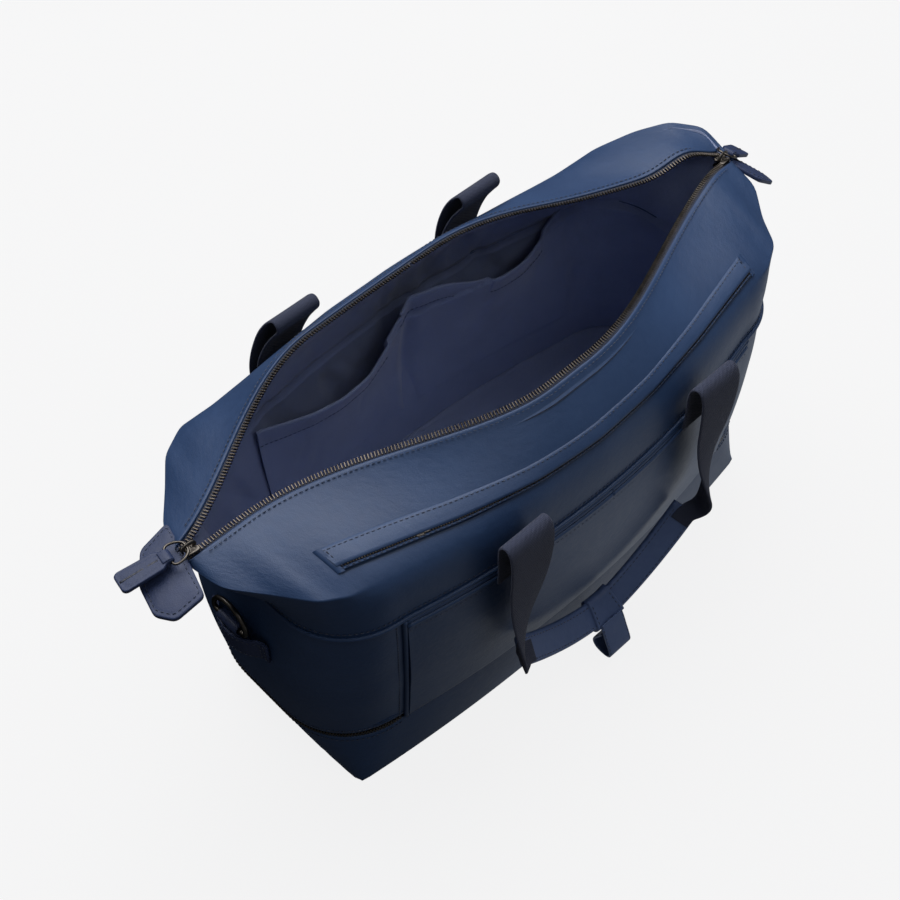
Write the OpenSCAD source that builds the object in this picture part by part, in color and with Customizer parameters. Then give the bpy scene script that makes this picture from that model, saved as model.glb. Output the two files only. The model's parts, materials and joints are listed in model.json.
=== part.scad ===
// Weekender bag: a soft travel bag with a tent-like roof, a long top zip, a front
// slip pocket, a zipped bottom compartment and two folding carrying handles.
// Origin: middle of the underside. +X runs along the length, -Y is the front, +Z is up.

/* [Body] */
// Half length of the underside
base_a = 230; // [222:1:236]
// Half depth of the underside at its corners
base_d = 87; // [84:1:90]
// Half length at the bottom zip
zip_a = 247; // [243:1:250]
// Half depth at the bottom zip, at the corners
zip_d = 92; // [90:1:95]
// Half length at the belt seam
belt_a = 239; // [236:1:242]
// Half depth at the belt seam, at the corners
belt_d = 105; // [102:1:108]
// How far the front and back bow out at the belt seam
belt_bow = 23; // [18:1:26]
// Height of the bottom zip
zip_z = 60; // [58:1:62]
// Height of the belt seam
belt_z = 213; // [208:1:216]

/* [Mouth] */
// Height of the open mouth's edge
mouth_z = 296; // [293:1:298]
// Distance of the open mouth's edge from the middle
mouth_y = 82; // [82:1:85]
// Height of the main zip at its ends
end_z = 277; // [276:1:278]
// Distance of the main zip's ends from the middle
end_x = 272; // [270:1:274]

/* [Leather] */
// Thickness of the leather walls
leather_t = 2.2; // [1.8:0.1:2.6]
// Width of the front pocket on each side of the middle
pocket_w = 182; // [176:1:182]

/* [Handles] */
// Distance of each webbing leg from the middle
leg_x = 97; // [90:1:104]
// Width of the webbing
web_w = 42; // [38:1:44]
// Thickness of the webbing
web_t = 2; // [1.6:0.1:2.2]
// Width of the leather grip
grip_w = 30; // [26:1:32]

/* [Metal] */
// Radius of the D-ring wire
wire_r = 2; // [1.8:0.1:2]
// Radius of the D-ring's arc
ring_r = 17; // [16:0.5:18]

/* [Hidden] */
side_x = 183.5;      // the moving walls stop here
end_x0 = 185;        // the fixed ends start here
pivot_y = 98;
pivot_z = 70;
axis_y = 132;        // fold of the webbing
axis_z = 244;
bow0 = 17; bowz = 18;
navy = [0.10, 0.15, 0.27]; dark = [0.04, 0.05, 0.09]; purple = [0.13, 0.14, 0.24];
metal = [0.16, 0.15, 0.14]; cloth = [0.07, 0.09, 0.17];

function mix(a, b, t) = a + (b - a) * t;
function lift(z) = (z - zip_z) / (belt_z - zip_z);
// plan of the bag at height z: half length, corner depth, bow and corner radius
function pa(z) = z < zip_z ? mix(base_a, zip_a, z / zip_z) : mix(zip_a, belt_a, lift(z)) + 4 * sin(180 * min(1, lift(z)));
function pd(z) = z < zip_z ? mix(base_d, zip_d, z / zip_z) : mix(zip_d, belt_d, lift(z));
function pb(z) = z < zip_z ? mix(bow0, bowz, z / zip_z) : mix(bowz, belt_bow, lift(z));
function pr(z) = z < zip_z ? mix(16, 66, z / zip_z) : mix(66, 58, lift(z));
// distance of the wall from the middle at x, inset by o
function wy(x, z, o = 0) = let(a = pa(z) - o, d = pd(z) - o, r = pr(z) - o, b = pb(z), s = abs(x))
  s <= a - r ? d + b * (1 - pow(s / (a - r), 2)) : d - r + sqrt(max(0, r * r - pow(s - a + r, 2)));
// closed ring at height z, inset by o
function ring(z, o = 0, n = 8) = let(a = pa(z) - o, d = pd(z) - o, r = pr(z) - o, b = pb(z), c = a - r, e = d - r)
  concat([for (i = [0:2 * n - 1]) let(x = -c + c * i / n) [x, -(d + b * (1 - pow(x / c, 2))), z]],
    [for (i = [0:n - 1]) let(t = -90 + 90 * i / n) [c + r * cos(t), -e + r * sin(t), z]],
    [for (i = [0:3]) [a, mix(-e, e, i / 4), z]],
    [for (i = [0:n - 1]) let(t = 90 * i / n) [c + r * cos(t), e + r * sin(t), z]],
    [for (i = [0:2 * n - 1]) let(x = c - c * i / n) [x, d + b * (1 - pow(x / c, 2)), z]],
    [for (i = [0:n - 1]) let(t = 90 + 90 * i / n) [-c + r * cos(t), e + r * sin(t), z]],
    [for (i = [0:3]) [-a, mix(e, -e, i / 4), z]],
    [for (i = [0:n - 1]) let(t = 180 + 90 * i / n) [-c + r * cos(t), -e + r * sin(t), z]]);
// open path round the right end from the front to the back at height z, inset by o
function around(z, o, x0, n = 7) = let(a = pa(z) - o, d = pd(z) - o, r = pr(z) - o, c = a - r, e = d - r,
    t0 = -acos(max(-1, min(1, (x0 - c) / r))))
  concat([for (i = [0:n]) let(t = mix(t0, 0, i / n)) [c + r * cos(t), -e + r * sin(t), z]],
    [for (i = [1:3]) [a, mix(-e, e, i / 4), z]],
    [for (i = [0:n]) let(t = mix(0, -t0, i / n)) [c + r * cos(t), e + r * sin(t), z]]);

// solid through a stack of closed rings
module loft(R) {
  nr = len(R); nc = len(R[0]);
  function id(i, j) = i * nc + (j % nc);
  polyhedron([for (r = R) each r], concat([[for (j = [0:nc - 1]) j]],
    [for (i = [0:nr - 2]) for (j = [0:nc - 1]) each [[id(i, j), id(i + 1, j), id(i + 1, j + 1)], [id(i, j), id(i + 1, j + 1), id(i, j + 1)]]],
    [[for (j = [nc - 1:-1:0]) (nr - 1) * nc + j]]));
}
// closed sheet between two grids of points
module sheet(P, Q) {
  turn = cross(P[0][1] - P[0][0], P[1][0] - P[0][0]) * (P[0][0] - Q[0][0]);
  O = turn > 0 ? P : Q; I = turn > 0 ? Q : P;
  nr = len(O); nc = len(O[0]); n = nr * nc; T = nr - 1; C = nc - 1;
  function a(i, j) = i * nc + j;
  function b(i, j) = n + i * nc + j;
  polyhedron(concat([for (r = O) each r], [for (r = I) each r]), concat(
    [for (i = [0:nr - 2]) for (j = [0:nc - 2]) each [[a(i, j), a(i + 1, j), a(i + 1, j + 1)], [a(i, j), a(i + 1, j + 1), a(i, j + 1)],
      [b(i, j), b(i + 1, j + 1), b(i + 1, j)], [b(i, j), b(i, j + 1), b(i + 1, j + 1)]]],
    [for (j = [0:nc - 2]) each [[a(0, j), a(0, j + 1), b(0, j + 1)], [a(0, j), b(0, j + 1), b(0, j)],
      [a(T, j + 1), a(T, j), b(T, j)], [a(T, j + 1), b(T, j), b(T, j + 1)]]],
    [for (i = [0:nr - 2]) each [[a(i + 1, 0), a(i, 0), b(i, 0)], [a(i + 1, 0), b(i, 0), b(i + 1, 0)],
      [a(i, C), a(i + 1, C), b(i + 1, C)], [a(i, C), b(i + 1, C), b(i, C)]]]));
}
// flat strip standing on a line of points: w across, t thick
module strip(P, t) { sheet([for (p = P) [p[0], p[1]]], [for (p = P) [p[0] + p[2] * t, p[1] + p[2] * t]]); }

// wall grid of the front between heights z0 and z1, inset by o
function wall(z0, z1, o, w = side_x, n = 14, m = 5) =
  [for (i = [0:m]) let(z = mix(z0, z1, i / m)) [for (j = [0:n]) let(x = mix(-w, w, j / n)) [x, -wy(x, z, o), z]]];
// roof point at x, from the belt (s = 0) to the mouth edge (s = 1), inset by o
function roof_p(x, s, o) = let(y0 = -wy(x, belt_z), y1 = y0 + 3, z0 = belt_z + 3, z1 = 262, u = 1 - s,
    y = u * u * y0 + 2 * u * s * y1 - s * s * mouth_y, z = u * u * z0 + 2 * u * s * z1 + s * s * mouth_z)
  [x, y + o * cos(50 * s), z - o * sin(50 * s)];
function roof(s0, s1, o, w = side_x, n = 14, m = 6) =
  [for (i = [0:m]) [for (j = [0:n]) roof_p(mix(-w, w, j / n), mix(s0, s1, i / m), o)]];

module base_tray() { color(navy) difference() {
  loft([ring(0), ring(6), ring(24), ring(42), ring(zip_z - 3.4)]);
  loft([ring(3.2, 4), ring(24, 3.4), ring(42, 3.2), ring(zip_z + 5, 3.2)]);
} }
module base_board() { color(dark) loft([ring(3.5, 14), ring(6, 14)]); }
module tray_zip_lower() { color(dark) difference() {
  loft([ring(zip_z - 3.1, 0.6), ring(zip_z - 0.5, 0.6)]);
  loft([ring(zip_z - 5, 3), ring(zip_z + 2, 3)]);
} }
module upper_zip_ring() { color(dark) difference() {
  loft([ring(zip_z + 0.5, 0.6), ring(zip_z + 3.1, 0.6)]);
  loft([ring(zip_z - 2, 3), ring(zip_z + 6, 3)]);
} }
module divider_floor() { color(cloth) loft([ring(zip_z + 3.6, 16), ring(zip_z + 6, 16)]); }

// ends: drawn at the right and mirrored for the left
module end_wall() { color(navy) sheet(
  [for (i = [0:5]) around(mix(zip_z + 4, belt_z - 1, i / 5), 0, end_x0)],
  [for (i = [0:5]) around(mix(zip_z + 4, belt_z - 1, i / 5), leather_t, end_x0)]); }
module end_lining() { color(cloth) sheet(
  [for (i = [0:6]) around(mix(zip_z + 8, 250, i / 6), 7.5 + 5 * i / 6, end_x0)],
  [for (i = [0:6]) around(mix(zip_z + 8, 250, i / 6), 8.7 + 5 * i / 6, end_x0)]); }
module gusset() { color(navy) sheet(
  [for (i = [0:3]) around(mix(belt_z + 1, 254, i / 3), 4 * i / 3, end_x0)],
  [for (i = [0:3]) around(mix(belt_z + 1, 254, i / 3), leather_t + 4 * i / 3, end_x0)]); }
// one half of the roof's end: stations along x, from the outer edge to the zip edge
function wing_o(x) = x < 226 ? mix(102, 90, (x - end_x0) / (226 - end_x0)) : mix(90, 31, (x - 226) / (end_x - 226));
function wing_i(x) = mix(27, 3.5, (x - end_x0) / (end_x - end_x0));
function wing_pt(x, v, o) = let(k = (x - end_x0) / (end_x - end_x0))
  [x, -mix(wing_o(x), wing_i(x), v), mix(mix(257, 274, k), mix(286, end_z, k), v) + 5 * sin(180 * v) * (1 - k) - o];
module half_wing() { sheet(
  [for (i = [0:8]) [for (j = [0:4]) wing_pt(mix(end_x0, end_x, i / 8), j / 4, 0)]],
  [for (i = [0:8]) [for (j = [0:4]) wing_pt(mix(end_x0, end_x, i / 8), j / 4, leather_t)]]); }
module wing() { color(navy) { half_wing(); mirror([0, 1, 0]) half_wing(); } }
module end_tab() { color(purple) translate([0, 0, end_z - 9.6]) linear_extrude(3.2)
  polygon([[end_x + 1, -30], [end_x + 20, -31], [end_x + 31, -17], [end_x + 33, 0], [end_x + 31, 17], [end_x + 20, 31], [end_x + 1, 30]]); }
// leather bridge that bulges off the end panel, sewn at both ends
module bridge() { color(purple) translate([0, 0, 148]) linear_extrude(21)
  polygon(concat([for (i = [0:12]) let(y = mix(-29, 29, i / 12)) [250.2 + 9.8 * pow(cos(90 * y / 29), 0.8), y]],
    [for (i = [12:-1:0]) let(y = mix(-29, 29, i / 12)) [248 + 9.8 * pow(cos(90 * y / 29), 0.8), y]])); }
bar_x = 257.4; bar_z = 176;
// leather loop that holds the D-ring's bar
module chape() { color(purple) difference() {
  union() {
    translate([bar_x, -13, bar_z]) rotate([-90, 0, 0]) cylinder(h = 26, r = 4.2, $fn = 48);
    translate([bar_x - 4.2, -13, 150]) cube([2.4, 26, 26]);
  }
  translate([bar_x, -14, bar_z]) rotate([-90, 0, 0]) cylinder(h = 28, r = wire_r + 0.1, $fn = 48);
} }
module d_ring() { color(metal) translate([bar_x, 0, bar_z]) rotate([0, -7, 0]) {
  translate([0, -ring_r, 0]) rotate([-90, 0, 0]) cylinder(h = 2 * ring_r, r = wire_r, $fn = 40);
  rotate([90, 0, 90]) rotate_extrude(angle = 180, $fn = 64) translate([ring_r, 0]) circle(r = wire_r, $fn = 40);
  for (s = [-1, 1]) translate([0, s * ring_r, 0]) sphere(r = wire_r, $fn = 40);
} }
module left_end_panel() { mirror([1, 0, 0]) end_wall(); }
module right_end_panel() { end_wall(); }
module left_gusset() { mirror([1, 0, 0]) gusset(); }
module right_gusset() { gusset(); }
module left_wing() { mirror([1, 0, 0]) wing(); }
module right_wing() { wing(); }
module left_end_lining() { mirror([1, 0, 0]) end_lining(); }
module right_end_lining() { end_lining(); }
module left_end_tab() { mirror([1, 0, 0]) end_tab(); }
module right_end_tab() { end_tab(); }
module left_bridge() { mirror([1, 0, 0]) bridge(); }
module right_bridge() { bridge(); }
module left_chape() { mirror([1, 0, 0]) chape(); }
module right_chape() { chape(); }
module left_d_ring() { mirror([1, 0, 0]) d_ring(); }
module right_d_ring() { d_ring(); }

// rounded cord laid along a path of points
function cord(P, r, m = 6) = [for (i = [0:len(P) - 1]) let(q = P[min(i + 1, len(P) - 1)] - P[max(i - 1, 0)], t = q / norm(q), s = [t[1], -t[0], 0])
  [for (k = [0:m - 1]) P[i] + r * cos(360 * k / m) * s + r * sin(360 * k / m) * [0, 0, 1]]];
module end_piping() { color(dark) for (m = [0, 1]) mirror([m, 0, 0]) loft(cord([for (p = around(belt_z, -1.3, end_x0)) p], 1.1)); }
module wall_piping() { color(dark) loft(cord([for (j = [0:16]) let(x = mix(-side_x, side_x, j / 16)) [x, -wy(x, belt_z) - 1.6, belt_z + 0.6]], 1.1)); }

// comb-shaped chain of zip teeth along x, teeth pointing to +y
module chain(x0, x1, pitch = 4) {
  n = floor((x1 - x0) / pitch);
  linear_extrude(1.8) polygon(concat([[x1, 0], [x0, 0]],
    [for (i = [0:n - 1]) each [[x0 + i * pitch + 0.4, 0.8], [x0 + i * pitch + 0.7, 1.7], [x0 + i * pitch + 2.2, 1.7], [x0 + i * pitch + 2.6, 0.8]]]));
}
module end_zip_chains() { color(metal) for (mx = [0, 1], my = [0, 1]) mirror([mx, 0, 0]) mirror([0, my, 0])
  translate([end_x0 + 2, -25.1, 286.8]) rotate([0, 4.4, 0]) rotate([0, 0, 15.5]) chain(0, 64); }

// the front wall: everything here leans in as the top zip closes
module panel() { color(navy) sheet(wall(74, belt_z - 1, 0), wall(74, belt_z - 1, leather_t)); }
module front_panel() { panel(); }
module front_pocket() { color(navy) sheet(wall(75, belt_z - 1.6, -3.6, pocket_w), wall(75, belt_z - 1.6, -1.2, pocket_w)); }
module front_piping() { wall_piping(); }
module roof_sheet() { color(navy) sheet(roof(0.0, 1, 0), roof(0.0, 1, leather_t)); }
module front_roof() { roof_sheet(); }
module lining_sheet() { color(cloth) {
  sheet(concat(wall(80, belt_z, 6), roof(0.12, 0.93, 6)), concat(wall(80, belt_z, 7.2), roof(0.12, 0.93, 7.2)));
} }
module front_lining() { lining_sheet(); }
module tape() { color(dark) translate([-side_x, -mouth_y + 1.7, mouth_z - 1.6]) cube([2 * side_x, 2.2, 1]); }
module front_zip_tape() { tape(); }
module teeth() { color(metal) translate([0, -mouth_y + 1.7, mouth_z - 0.4]) chain(-side_x + 1, side_x - 1); }
module front_zip_chain() { teeth(); }
// welted zip pocket: arc of radius welt_r about a centre behind the bag
welt_s0 = 0.36; welt_s1 = 0.56; welt_x = 172;
function welt_p(x, s, o) = roof_p(x, s, o);
module welt_frame() { color(navy) {
  sheet([for (i = [0:1]) [for (j = [0:12]) welt_p(mix(-welt_x, welt_x, j / 12), mix(0.49, 0.6, i), -3)]],
        [for (i = [0:1]) [for (j = [0:12]) welt_p(mix(-welt_x, welt_x, j / 12), mix(0.49, 0.6, i), -0.8)]]);
  sheet([for (i = [0:1]) [for (j = [0:12]) welt_p(mix(-welt_x, welt_x, j / 12), mix(0.36, 0.42, i), -2)]],
        [for (i = [0:1]) [for (j = [0:12]) welt_p(mix(-welt_x, welt_x, j / 12), mix(0.36, 0.42, i), -0.8)]]);
} }
module welt_zip() { color(metal)
  sheet([for (i = [0:1]) [for (j = [0:12]) welt_p(mix(-welt_x, welt_x, j / 12), mix(0.435, 0.475, i), -1.6)]],
        [for (i = [0:1]) [for (j = [0:12]) welt_p(mix(-welt_x, welt_x, j / 12), mix(0.435, 0.475, i), -0.5)]]);
}
// the slider stands just off the zip, with a small tab
module welt_slider() { color(metal) { p = welt_p(-150, 0.455, -3.1); q = welt_p(-140, 0.455, -3.1); a = atan2(q[1] - p[1], q[0] - p[0]);
  translate(p) rotate([0, 0, a]) rotate([-27.6, 0, 0]) { translate([-4.5, -1.2, -2.2]) cube([9, 1.7, 4.4]); translate([-12, -1.6, -1.6]) cube([9, 0.9, 3.2]); } } }
module rises() { color(dark) for (s = [-1, 1]) translate([s * leg_x - web_w / 2, -axis_y + 6 - web_t / 2 - 1, belt_z + 4]) cube([web_w, web_t, axis_z - belt_z - 4.5]); }
module front_handle_anchors() { rises(); }

module back_panel() { mirror([0, 1, 0]) panel(); }
module back_piping() { mirror([0, 1, 0]) wall_piping(); }
module back_roof() { mirror([0, 1, 0]) roof_sheet(); }
module back_lining() { mirror([0, 1, 0]) lining_sheet(); }
module back_slip_pocket() { color(cloth) mirror([0, 1, 0]) sheet(wall(86, 205, 13, 172), wall(86, 205, 14.4, 172)); }
module back_zip_tape() { mirror([0, 1, 0]) tape(); }
module back_zip_chain() { mirror([0, 1, 0]) teeth(); }
module back_handle_anchors() { mirror([0, 1, 0]) rises(); }

// handle: two webbing legs hang from the folds and a leather grip joins them
leg_drop = 158;
grip_y = 131.2;
module legs() { color(dark) for (s = [-1, 1]) translate([s * leg_x - web_w / 2, -axis_y - 6, axis_z]) rotate([0.6, 0, 0]) translate([0, -web_t / 2, -leg_drop]) cube([web_w, web_t, leg_drop - 1]); }
function grip_c(t) = [92 * t, -grip_y + 2 * (1 - t * t), 50 + 45 * pow(abs(t), 2.1)];
module grip() { color(purple) loft([for (i = [0:20]) let(t = mix(-1, 1, i / 20), p = grip_c(t), q = grip_c(min(1, t + 0.02)) - grip_c(max(-1, t - 0.02)), u = q / norm(q),
    v0 = [0, sin(40 * (1 - pow(abs(t), 2))), cos(40 * (1 - pow(abs(t), 2)))], w0 = v0 - (v0 * u) * u, v = w0 / norm(w0), w = cross(u, v))
  [for (k = [0:11]) p + (grip_w / 2) * max(-0.93, min(0.93, 1.06 * cos(30 * k))) * v + 3 * max(-0.9, min(0.9, 1.2 * sin(30 * k))) * w]]); }
module front_webbing() { legs(); }
module front_grip() { grip(); }
// keeper: a leather sleeve round the middle of the grip, with a loose loop below it
module keeper_box(i, h0, h1, w) { translate([-w / 2, -h0 / 2 - i, -h1 / 2 - i]) cube([w, h0 + 2 * i, h1 + 2 * i]); }
module grip_keeper() { color(purple) translate([0, -grip_y + 2, 50]) rotate([-40, 0, 0]) difference() {
  keeper_box(2, 8, 31.5, 34);
  keeper_box(0, 8, 31.5, 40);
} }
module keeper_loop() { color(purple) translate([0, -grip_y - 10.7, 33.4]) rotate([0, 90, 0]) translate([0, 0, -17]) difference() {
  union() { translate([12, -1, 0]) cylinder(h = 34, r = 10, $fn = 40); linear_extrude(34) polygon([[3.4, -3], [3.4, 2], [8, 8.6], [16, 8], [16, -10], [8, -10.2]]); }
  translate([12, -1, -1]) cylinder(h = 36, r = 7.8, $fn = 40);
  translate([0, 0, -1]) linear_extrude(36) polygon([[5.4, -1.6], [5.4, 0.8], [9, 5.6], [12, 5], [12, -6], [9, -7]]);
} }
module back_webbing() { mirror([0, 1, 0]) legs(); }
module back_grip() { mirror([0, 1, 0]) grip(); }

// main zip slider: plates above and below the chains, joined by a thin neck
module slider() { color(metal) translate([0, 0, end_z]) {
  translate([-5, -4.5, 2.6]) cube([10, 9, 1.6]);
  translate([-5, -4.5, -5.8]) cube([10, 9, 1.6]);
  translate([-3.5, -1.2, -5]) cube([7, 2.4, 8]);
  for (s = [-1, 1]) translate([-2, s * 2.2 - 0.8, 4.2]) cube([4, 1.6, 3]);
} }
// link and leather puller, lying outwards over the end tab
module puller() { color(purple) {
  translate([15.5, -8, end_z + 7.4]) cube([36, 16, 2.6]);
  translate([7, -6.6, end_z + 7.2]) cube([2, 13.2, 2]);
  for (s = [-1, 1]) translate([7, s * 6.6 - 1, end_z + 7.2]) cube([9, 2, 2]);
  translate([1.6, -6.6, end_z + 7.8]) cube([6, 13.2, 1.2]);
} }
slider_x = 270;
module right_slider() { translate([slider_x, 0, 0]) slider(); }
module right_puller() { translate([slider_x, 0, 0]) puller(); }
module left_slider() { mirror([1, 0, 0]) translate([slider_x, 0, 0]) slider(); }
module left_puller() { mirror([1, 0, 0]) translate([slider_x, 0, 0]) puller(); }

// bottom zip sliders at the middle of the back, one on each side
bs_y = zip_d + bowz + 0.6;
module b_slider() { color(metal) translate([9, bs_y, zip_z]) { translate([-4.5, 0, -3]) cube([9, 1.6, 6]); translate([-1.2, 1.2, -2.6]) cube([2.4, 1.2, 1.4]); } }
module b_puller() { color(purple) translate([9, bs_y + 1.9, zip_z]) translate([-4, 0, -26]) cube([8, 1.4, 23]); }
module bottom_slider_a() { b_slider(); }
module bottom_puller_a() { b_puller(); }
module bottom_slider_b() { mirror([1, 0, 0]) b_slider(); }
module bottom_puller_b() { mirror([1, 0, 0]) b_puller(); }

base_tray();
base_board();
tray_zip_lower();
divider_floor();
upper_zip_ring();
left_end_panel();
right_end_panel();
left_gusset();
right_gusset();
left_wing();
right_wing();
left_end_lining();
right_end_lining();
end_piping();
left_end_tab();
right_end_tab();
left_bridge();
right_bridge();
left_chape();
right_chape();
left_d_ring();
right_d_ring();
end_zip_chains();
front_panel();
front_pocket();
front_piping();
front_roof();
front_lining();
front_zip_tape();
front_zip_chain();
welt_frame();
welt_zip();
welt_slider();
front_handle_anchors();
back_panel();
back_piping();
back_roof();
back_lining();
back_slip_pocket();
back_zip_tape();
back_zip_chain();
back_handle_anchors();
front_webbing();
front_grip();
grip_keeper();
keeper_loop();
back_webbing();
back_grip();
left_slider();
left_puller();
right_slider();
right_puller();
bottom_slider_a();
bottom_puller_a();
bottom_slider_b();
bottom_puller_b();
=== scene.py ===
import bpy, json, math
import numpy as np
from mathutils import Matrix, Vector

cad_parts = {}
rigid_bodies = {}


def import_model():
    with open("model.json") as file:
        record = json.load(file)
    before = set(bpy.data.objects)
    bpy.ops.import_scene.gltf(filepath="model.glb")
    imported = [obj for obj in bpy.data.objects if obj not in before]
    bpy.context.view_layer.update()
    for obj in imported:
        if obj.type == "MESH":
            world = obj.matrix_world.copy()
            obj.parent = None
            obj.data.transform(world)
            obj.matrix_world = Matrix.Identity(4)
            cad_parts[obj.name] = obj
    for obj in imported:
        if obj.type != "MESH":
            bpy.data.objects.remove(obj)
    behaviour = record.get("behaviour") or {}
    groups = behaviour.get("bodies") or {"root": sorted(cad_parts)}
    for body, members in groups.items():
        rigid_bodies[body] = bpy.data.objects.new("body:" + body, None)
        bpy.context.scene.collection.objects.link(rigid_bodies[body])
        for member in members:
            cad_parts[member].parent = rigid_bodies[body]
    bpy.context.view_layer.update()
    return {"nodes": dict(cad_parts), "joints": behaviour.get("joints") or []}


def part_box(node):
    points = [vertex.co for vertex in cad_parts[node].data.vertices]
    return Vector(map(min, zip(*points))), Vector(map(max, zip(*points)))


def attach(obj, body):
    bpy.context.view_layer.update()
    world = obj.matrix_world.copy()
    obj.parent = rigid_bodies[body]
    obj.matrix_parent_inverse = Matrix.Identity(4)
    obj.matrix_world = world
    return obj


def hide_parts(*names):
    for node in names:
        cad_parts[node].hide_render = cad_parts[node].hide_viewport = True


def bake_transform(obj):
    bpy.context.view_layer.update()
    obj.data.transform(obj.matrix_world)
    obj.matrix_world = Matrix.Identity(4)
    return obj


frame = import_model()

J = {j["name"]: j for j in frame["joints"]}
rng = np.random.RandomState(7)

# ------------------------------------------------------------------ numbers (mm) from the frame
def cad(n):
    a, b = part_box(n)
    return np.array(a) * 1000, np.array(b) * 1000
BELT_Z = float((cad("end_piping")[0][2] + cad("end_piping")[1][2]) / 2)
ZIP_Z = float((cad("tray_zip_lower")[1][2] + cad("upper_zip_ring")[0][2]) / 2)
BASE_A = 230.0
ZIP_A = float(cad("upper_zip_ring")[1][0]) + 0.6
BELT_A = 239.0
MOUTH_Z = float(cad("front_roof")[1][2])
PIV_Y = abs(J["front_wall_lean"]["pos_m"][1]) * 1000
PIV_Z = J["front_wall_lean"]["pos_m"][2] * 1000
CLOSE = math.radians(J["front_wall_lean"]["range_deg"][1])
END_Z = 277.0
FOLD_Y = abs(J["front_handle_swing"]["pos_m"][1]) * 1000
FOLD_Z = J["front_handle_swing"]["pos_m"][2] * 1000
POCKET_X = float(cad("front_pocket")[1][0])
LEG_X = float((cad("front_webbing")[1][0] - 21))

def mix(a, b, t): return a + (b - a) * t
def sstep(t):
    t = np.clip(t, 0, 1); return t * t * (3 - 2 * t)

# ------------------------------------------------------------------ materials
def new_mat(name):
    m = bpy.data.materials.new(name); m.use_nodes = True
    nt = m.node_tree
    for n in list(nt.nodes): nt.nodes.remove(n)
    out = nt.nodes.new("ShaderNodeOutputMaterial"); b = nt.nodes.new("ShaderNodeBsdfPrincipled")
    nt.links.new(b.outputs[0], out.inputs[0])
    return m, nt, b
def node(nt, kind, **kw):
    n = nt.nodes.new(kind)
    for k, v in kw.items():
        if hasattr(n, k): setattr(n, k, v)
        else: n.inputs[k.replace("_", " ")].default_value = v
    return n
def mathn(nt, op, a, b=None, c=None):
    n = nt.nodes.new("ShaderNodeMath"); n.operation = op
    for i, v in enumerate((a, b, c)):
        if v is None: continue
        if hasattr(v, "is_linked") or isinstance(v, bpy.types.NodeSocket): nt.links.new(v, n.inputs[i])
        else: n.inputs[i].default_value = v
    return n.outputs[0]
def ramp(nt, fac, stops):
    r = nt.nodes.new("ShaderNodeValToRGB"); nt.links.new(fac, r.inputs[0])
    e = r.color_ramp.elements
    e[0].position, e[0].color = stops[0][0], (*stops[0][1], 1)
    e[1].position, e[1].color = stops[-1][0], (*stops[-1][1], 1)
    for p, c in stops[1:-1]:
        x = e.new(p); x.color = (*c, 1)
    return r.outputs[0]
def leather(name, dark, light, rough=0.42, grain=1.0, sheen=0.0, coat=0.12, spec=0.5):
    m, nt, b = new_mat(name)
    uv = node(nt, "ShaderNodeTexCoord").outputs["UV"]
    big = node(nt, "ShaderNodeTexNoise", Scale=9.0, Detail=3.0, Roughness=0.5); nt.links.new(uv, big.inputs["Vector"])
    mid = node(nt, "ShaderNodeTexNoise", Scale=140.0, Detail=4.0, Roughness=0.6); nt.links.new(uv, mid.inputs["Vector"])
    cell = node(nt, "ShaderNodeTexVoronoi", Scale=900.0 / grain); cell.feature = "DISTANCE_TO_EDGE"; nt.links.new(uv, cell.inputs["Vector"])
    fine = node(nt, "ShaderNodeTexNoise", Scale=2300.0, Detail=2.0); nt.links.new(uv, fine.inputs["Vector"])
    f = mathn(nt, "ADD", mathn(nt, "MULTIPLY", big.outputs[0], 0.75), mathn(nt, "MULTIPLY", mid.outputs[0], 0.25))
    nt.links.new(ramp(nt, f, [(0.36, dark), (0.64, light)]), b.inputs["Base Color"])
    r = mathn(nt, "ADD", mathn(nt, "MULTIPLY", mid.outputs[0], 0.14), rough - 0.07)
    nt.links.new(r, b.inputs["Roughness"])
    pores = mathn(nt, "MINIMUM", mathn(nt, "MULTIPLY", cell.outputs[0], 6.0), 1.0)
    h = mathn(nt, "ADD", mathn(nt, "MULTIPLY", pores, 0.6), mathn(nt, "MULTIPLY", fine.outputs[0], 0.4))
    bump = node(nt, "ShaderNodeBump", Strength=0.22, Distance=0.00022); nt.links.new(h, bump.inputs["Height"])
    bump2 = node(nt, "ShaderNodeBump", Strength=0.25, Distance=0.0012); nt.links.new(mid.outputs[0], bump2.inputs["Height"]); nt.links.new(bump.outputs[0], bump2.inputs["Normal"])
    nt.links.new(bump2.outputs[0], b.inputs["Normal"])
    b.inputs["Specular IOR Level"].default_value = spec
    b.inputs["Coat Weight"].default_value = coat; b.inputs["Coat Roughness"].default_value = 0.38
    b.inputs["Sheen Weight"].default_value = sheen; b.inputs["Sheen Roughness"].default_value = 0.5
    return m
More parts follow.
